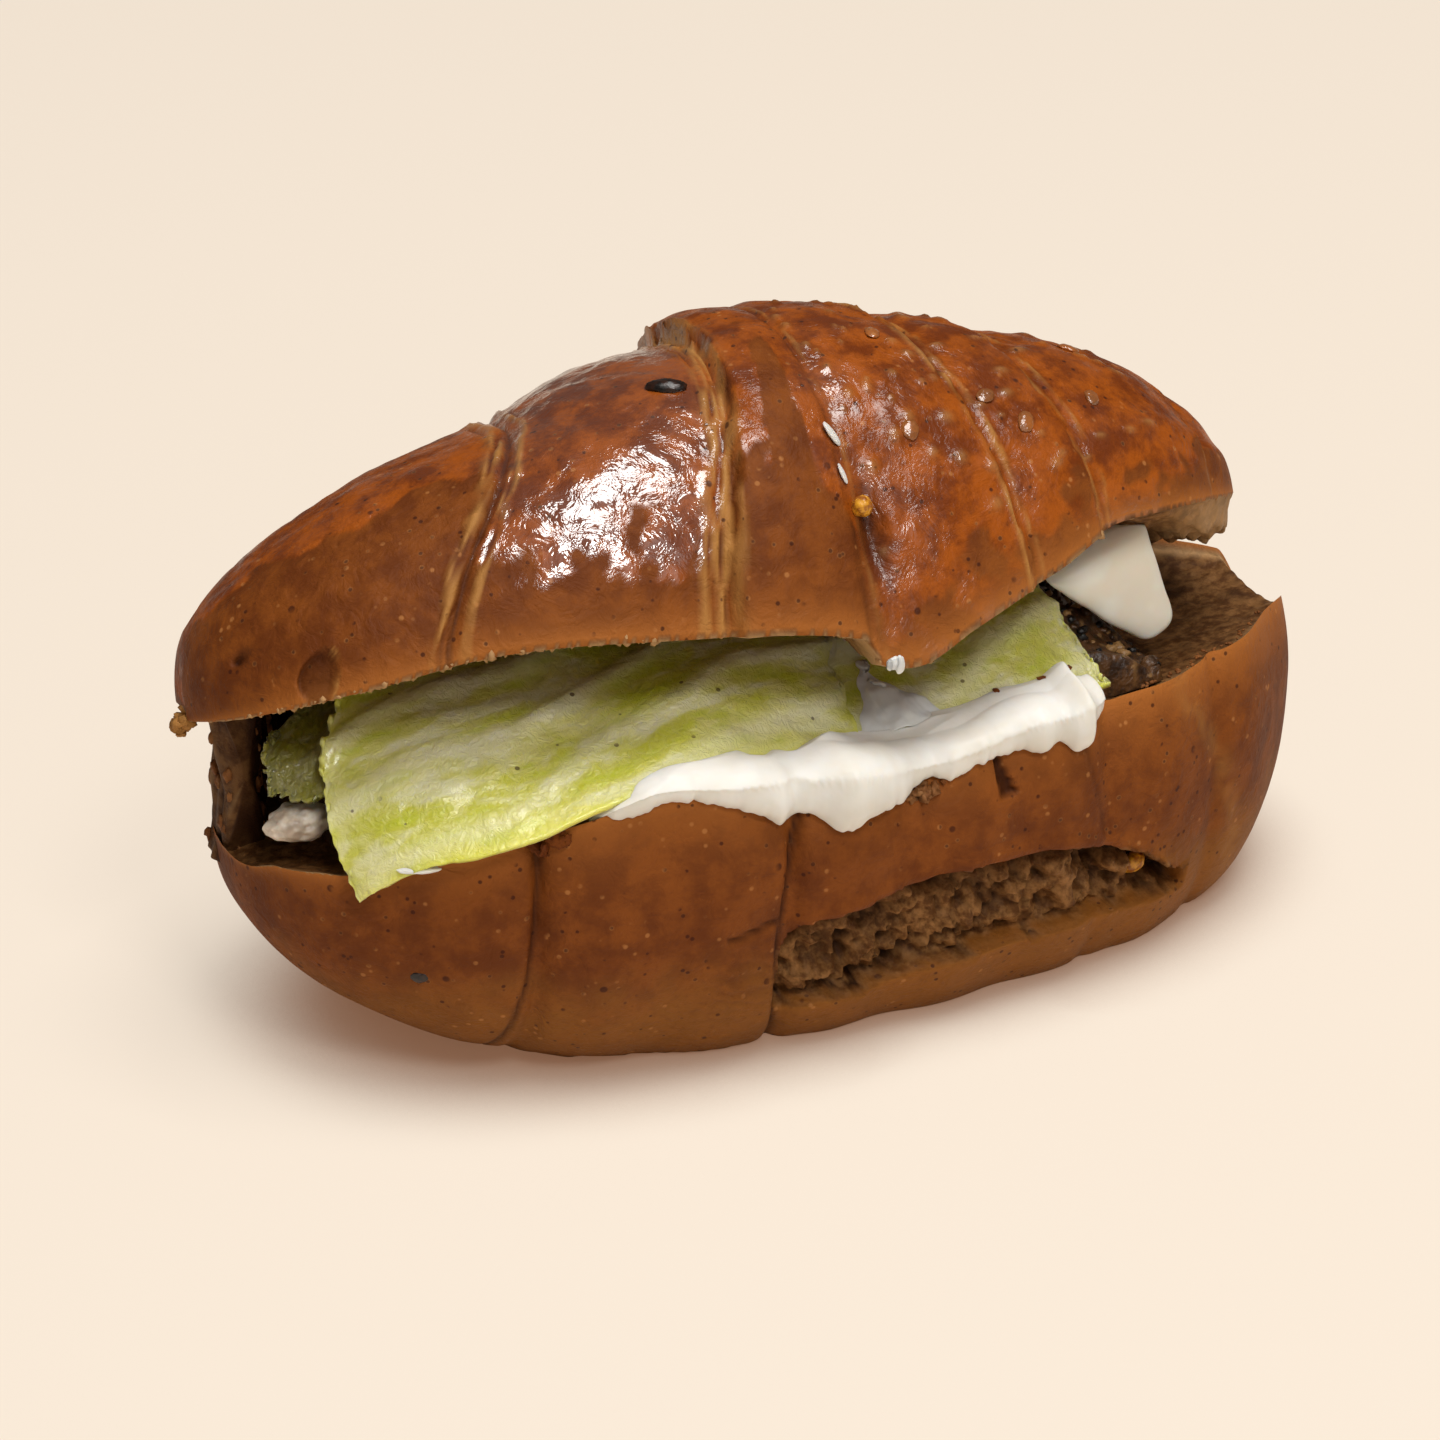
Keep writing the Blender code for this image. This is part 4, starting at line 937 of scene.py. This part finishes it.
def add_lump(mesh, centre, size, turn=0.0, seed=0.0, detail=2, rough=0.25, tilt=None):
    """Adds an uneven lump to a mesh, given in millimetres, and returns its points."""
    way = Matrix.Rotation(turn, 3, "Z")
    if tilt is not None:
        way = Vector(tilt).to_track_quat("Z", "Y").to_matrix() @ way
    made = bmesh.ops.create_icosphere(mesh, subdivisions=detail, radius=1.0)["verts"]
    for vertex in made:
        swell = 1.0 + rough * noise.noise(vertex.co * 1.4 + Vector((seed, 0, 0)))
        swell += rough * 0.6 * noise.noise(vertex.co * 3.1 + Vector((0, seed, 0)))
        local = Vector(a * b * swell for a, b in zip(vertex.co, size))
        vertex.co = (Vector(centre) - Vector(ORIGIN) + way @ local) * MM
    return made


chunk_mesh = bmesh.new()
stain_and_shade_layer = chunk_mesh.verts.layers.float.new("stain")
add_lump(chunk_mesh, (-62.9, -9.0, 35.2), (4.2, 3.0, 2.4), seed=2.0, detail=5, rough=0.22)
add_lump(chunk_mesh, (-58.6, -13.3, 33.0), (0.9, 1.2, 3.2), 0.4, seed=6.0, detail=4, rough=0.3)
# The broken piece is darkened by painted shade as well as stained by the filling.
for vertex in chunk_mesh.verts:
    vertex[stain_and_shade_layer] = 0.8
chunk = add_piece("egg_chunk", chunk_mesh, egg_finish)
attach(chunk, "root")
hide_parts("egg_white_left")


# The chopped filling.
# A moist dark mix of finely chopped things with tan and black bits in it. It fills the mouth
# from the cut crumb up to the leaves, and shows at both ends and through the gaps.
FILLING_LEFT, FILLING_RIGHT = -58.0, 51.0
FILLING_HEIGHT = 21.0
FILLING_TOP_SHARE = 0.7
FILLING_SETBACK = curve(
    (-58, 6.0), (-38, 7.5), (-20, 9.5), (0, 13.5), (6, 16.0), (12, 13.5), (30, 13.5), (44, 9.0), (51, 7.0),
)
FILLING_BACK = curve((-58, 5.0), (-52, 11.0), (-44, 16.5), (-30, 18.0), (30, 18.0), (51, 16.0))
FILLING_TOP = curve((-61, 33.0), (-45, 42.0), (-20, 44.0), (8, 43.0), (30, 42.5), (41, 42.0), (51, 38.5))


def filling_surface(u, v):
    """Places and tones over the bed of filling: u runs along it, v over its top and back under it."""
    x = FILLING_LEFT + (FILLING_RIGHT - FILLING_LEFT) * u
    over = v < FILLING_TOP_SHARE
    across = np.where(over, v / FILLING_TOP_SHARE, (1 - v) / (1 - FILLING_TOP_SHARE))
    front = -np.clip(base_half(x) - FILLING_SETBACK(x), 4.0, 24.0)
    y = front + (FILLING_BACK(x) - front) * across
    floor = base_top(x, y) + 0.2
    edge = clamp(np.minimum(np.sin(u * math.pi), np.sin(across * math.pi))) ** 0.45
    spots = points(x, y, 0 * x)
    rough, fine = lumps(spots, 5.0, 3.0), lumps(spots, 1.7, 7.0)
    under_leaves = FILLING_TOP(x) + 4 * smooth_step(-18, -6, y) + rough
    top = np.minimum(floor + edge * (FILLING_HEIGHT + 3 * rough), under_leaves)
    top = np.maximum(np.minimum(top, crown_floor(x, y) - 1.0), floor) + 1.0 * fine * edge
    z = np.where(over, top, floor - 0.4)
    return points(x, y, z), {"tone": fine}


mix_finish, tree, shader = new_material("chopped_filling")
mix_specks = node(tree, "ShaderNodeGroup", node_tree=bran)
bit = mask(tree, "tone")
mix_tone = clouds(tree, 2.2, 4.0, 0.65, (44, 24, 8), (88, 56, 26))
mix_tone = cover(tree, mix_tone, mix_specks.outputs["Pale"], 0.6, (170, 130, 80))
mix_tone = cover(tree, mix_tone, stretch(tree, bit, 0.35, 0.75), 1.0, (150, 112, 66))
mix_tone = cover(tree, mix_tone, stretch(tree, bit, -0.35, -0.75), 1.0, (14, 9, 6))
mix_normal = roughened(tree, noise_value(tree, 0.8, 3.0), 0.6, 0.6)
set_inputs(tree, shader, {"Base Color": mix_tone, "Roughness": 0.42, "Normal": mix_normal})
bed = add_piece("filling_bed", shaped_grid(330, 130, filling_surface), mix_finish)
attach(bed, "root")
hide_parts("filling")


def scatter_bits(mesh, count, seed, low_share, high_share):
    """Adds chopped bits to a mesh, bedded in the filling between two shares of its length."""
    tones = mesh.verts.layers.float.get("tone")
    draw = np.random.default_rng(seed)
    u = draw.uniform(low_share, high_share, count)
    v = draw.uniform(0.03, 0.6, count)
    places, _ = filling_surface(u, v)
    for i, place in enumerate(places):
        size = draw.uniform(0.4, 1.2) * np.array([1.0, draw.uniform(0.5, 1.0), draw.uniform(0.5, 0.9)])
        tone = draw.choice([-0.9, -0.2, 0.4, 0.9])
        for vertex in add_lump(mesh, place, size, draw.uniform(0, math.pi), float(i), rough=0.5):
            vertex[tones] = tone


bits_mesh = bmesh.new()
bits_mesh.verts.layers.float.new("tone")
scatter_bits(bits_mesh, 150, 3, 0.0, 0.18)
scatter_bits(bits_mesh, 190, 4, 0.84, 1.0)
scatter_bits(bits_mesh, 60, 5, 0.5, 0.7)
bits = add_piece("filling_bits", bits_mesh, mix_finish)
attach(bits, "root")


# Grains, smears and crumbs.
# Seeds baked into the crust, thin cream on the crown, at its lip and on two leaves, and
# loose flakes and torn crumb along the cut edges.
def facing(spots, outward):
    """The first of three points on a surface, and the way it faces there, on the outward side."""
    way = np.cross(spots[2] - spots[0], spots[1] - spots[0])
    way /= np.linalg.norm(way)
    return spots[0], way if way @ np.array(outward) > 0 else -way


def on_crown(x, angle):
    """A point on the crown's crust, and the way the surface faces there."""
    skin = crown_skin(np.array([x, x + 0.5, x]), np.array([angle, angle, angle + 0.02]))
    return facing(tip_open(*skin.T), (0.0, -0.4, 1.0))


def on_base(x, turn):
    """A point on the bottom half's front crust, and the way the surface faces there."""
    xs = np.array([x, x + 0.5, x])
    return facing(points(xs, *base_wall(xs, np.array([turn, turn, turn + 0.01]))), (0.0, -1.0, 0.0))


def seed_material(name, tone, dark_tone, roughness):
    """A seed's hull: two tones in clouds, with a soft shine."""
    material, tree, shader = new_material(name)
    hull = clouds(tree, 0.9, 2.0, 0.5, dark_tone, tone)
    ripple = roughened(tree, noise_value(tree, 0.5), 0.3, 0.2)
    set_inputs(tree, shader, {"Base Color": hull, "Roughness": roughness, "Normal": ripple})
    return material


yellow_mesh = bmesh.new()
dark_mesh = bmesh.new()
sesame_mesh = bmesh.new()
for x, angle, size, turn, mesh in (
    (5.5, 0.40, (1.35, 1.35, 1.35), 0.4, yellow_mesh), (-22.5, 1.03, (2.6, 1.3, 0.9), 0.2, dark_mesh),
    (34.5, 0.50, (1.6, 1.1, 0.5), 0.9, sesame_mesh), (31.5, 0.66, (1.4, 1.0, 0.5), 0.3, sesame_mesh),
    (17.0, 0.58, (1.5, 1.1, 0.5), 1.2, sesame_mesh), (47.0, 0.62, (1.4, 1.0, 0.45), 0.6, sesame_mesh),
    (22.0, 1.05, (1.4, 1.0, 0.45), 0.1, sesame_mesh), (52.0, 1.20, (1.4, 1.0, 0.45), 0.5, sesame_mesh),
):
    place, way = on_crown(x, angle)
    add_lump(mesh, place + 0.1 * way, size, turn, x, detail=4, rough=0.12, tilt=way)
for name, value in (("glaze", 1.0), ("wet", 0.7), ("flaky", 0.25)):
    layer = sesame_mesh.verts.layers.float.new(name)
    for vertex in sesame_mesh.verts:
        vertex[layer] = value
place, way = on_base(-53.5, 0.25)
add_lump(dark_mesh, place - 0.2 * way, (1.2, 0.9, 0.5), 0.0, 1.0, detail=4, rough=0.15, tilt=way)
place, way = on_base(46.0, 0.25)
add_lump(yellow_mesh, place - 0.6 * way, (1.8, 1.3, 1.3), 0.4, 2.0, detail=4, rough=0.12, tilt=way)
yellow_finish = seed_material("yellow_grain", (222, 156, 40), (150, 84, 18), 0.35)
dark_finish = seed_material("dark_grain", (44, 20, 8), (16, 8, 4), 0.3)
for name, mesh, finish in (
    ("yellow_grains", yellow_mesh, yellow_finish), ("dark_grains", dark_mesh, dark_finish),
    ("sesame", sesame_mesh, crust_finish),
):
    grains = add_piece(name, mesh, finish)
    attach(grains, "root")

smear_mesh = bmesh.new()
for x, angle, size, turn in ((3.4, 0.60, (0.8, 1.9, 0.30), 0.1), (3.4, 0.46, (0.5, 1.4, 0.20), -0.2)):
    place, way = on_crown(x, angle)
    add_lump(smear_mesh, place + 0.25 * way, size, turn, x, detail=4, rough=0.1, tilt=way)
lip_place, _ = on_crown(5.2, 0.0)
for shift, size in (
    ((0.3, 0.1, 0.2), (0.5, 0.4, 0.8)), ((1.6, 0.0, 0.0), (0.65, 0.5, 1.3)),
    ((1.0, 0.1, 0.3), (1.2, 0.45, 0.9)),
):
    add_lump(smear_mesh, lip_place + shift, size, seed=size[2], detail=4, rough=0.1)
for place, size in (((-54.2, -26.9, 35.3), (2.6, 0.8, 0.4)), ((-45.4, -29.9, 38.4), (2.4, 0.8, 0.4))):
    add_lump(smear_mesh, place, size, -0.36, place[0], detail=4, rough=0.15)
smears = add_piece("cream_smears", smear_mesh, cream_finish)
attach(smears, "root")


def film_surface(u, v):
    """Places over the thin cream drawn up on the leaf: v runs up to its tip."""
    wander = lumps(points(8 * u, 8 * v, 0 * u), 2.0, 4.0)
    spread = 0.22 + 0.34 * (1 - v) ** 1.6 * u + 0.05 * v + 0.02 * wander
    places, _ = leaf_surface(*RIGHT_LEAF, **RIGHT_FOLDS)(spread, 0.42 * v)
    body = np.sin(u * math.pi) ** 0.5 * clamp(1.04 - v) ** 0.5
    places[:, 2] += body * (1.3 + 0.9 * lumps(places, 3.0, 5.0)) - 0.3
    return places, {"thin": 0.5 * v}


film = add_piece("cream_film", shaped_grid(60, 60, film_surface), cream_finish)
film_body = film.modifiers.new("thickness", "SOLIDIFY")
film_body.thickness = 0.3 * MM
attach(film, "root")

crumb_mesh = bmesh.new()
cut_layer = crumb_mesh.verts.layers.float.new("crumb")
fresh_layer = crumb_mesh.verts.layers.float.new("fresh")
flaky_layer = crumb_mesh.verts.layers.float.new("flaky")
draw = np.random.default_rng(11)


def add_crumb(place, size, tilt=None, cut=1.0, detail=1, pale=0.0):
    """A torn crumb of bread: cut is 1 for the inside and 0 for a bit of crust, which may be pale."""
    turn, seed = draw.uniform(0, 3), draw.uniform(0, 50)
    for vertex in add_lump(crumb_mesh, place, size, turn, seed, detail, rough=0.7, tilt=tilt):
        vertex[cut_layer] = cut
        vertex[fresh_layer] = 0.45 * cut
        vertex[flaky_layer] = pale


for _ in range(640):
    x = draw.uniform(-70, -22) if draw.uniform() < 0.85 else draw.uniform(-22, 66)
    lip_place, _ = on_crown(x, 0.0)
    inward = draw.uniform(0.3, 3.2)
    size = draw.uniform(0.15, 0.5) * np.array([1.3, 0.9, draw.uniform(0.6, 1.8)])
    add_crumb(lip_place + [0, inward, 0.1 - 0.15 * inward], size)
for _ in range(40):
    rim_place, _ = on_base(draw.uniform(44, 70), 0.0)
    inward = draw.uniform(0.3, 1.4)
    add_crumb(rim_place + [0, inward, 0.0], draw.uniform(0.1, 0.35) * np.array([1.4, 0.8, 0.8]), cut=0.3)
web_places, _ = web_surface(draw.uniform(0.80, 0.99, 120), draw.uniform(0.0, 1.0, 120))
for place in web_places:
    size = draw.uniform(0.3, 0.8) * np.array([0.8, 0.8, 1.5])
    add_crumb(place, size, cut=draw.uniform(0.3, 0.6), detail=2)
for _ in range(16):
    rim_place, _ = on_base(draw.uniform(8.0, 13.5), draw.uniform(0.0, 0.05))
    size = draw.uniform(0.5, 1.2) * np.array([1.0, 0.7, 0.8])
    add_crumb(rim_place + [0, -0.2, 0.0], size, cut=draw.uniform(0.2, 0.6), detail=3)
for share, over in ((0.33, 0.25), (0.80, 0.22), (0.885, 0.24), (0.93, 0.25)):
    place = cream_surface(np.array([share]), np.array([over * CREAM_TOP_SHARE / 0.5]))[0][0]
    add_crumb(place, draw.uniform(0.35, 0.75) * np.array([1.3, 0.8, 0.6]), cut=0.0, detail=2)
for _ in range(26):
    along = draw.uniform(0, 1)
    place = np.array([-73.6 + 1.4 * along, 4.0 - along, 44.4 + 2.4 * along]) + draw.uniform(-0.7, 0.7, 3)
    size = draw.uniform(0.5, 1.2) * np.array([1.0, 0.8, 0.7])
    add_crumb(place, size, cut=draw.uniform(0.0, 0.2), detail=2, pale=0.95)
for x, lift, size, tilt in (
    (-39.6, 0.2, (2.2, 1.3, 0.25), (0.2, -0.9, 0.5)), (-37.8, 0.4, (1.5, 1.1, 0.2), (-0.4, -0.8, 0.3)),
    (-38.6, -1.2, (1.6, 1.0, 0.22), (0.5, -0.7, -0.2)), (-36.9, -0.4, (1.0, 0.8, 0.2), (-0.2, -0.9, 0.1)),
):
    rim_place, _ = on_base(x, 0.01)
    add_crumb(rim_place + [0, -0.9, lift], size, Vector(tilt), cut=0.0, detail=3)
crumbs = add_piece("crumbs", crumb_mesh, crust_finish)
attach(crumbs, "root")
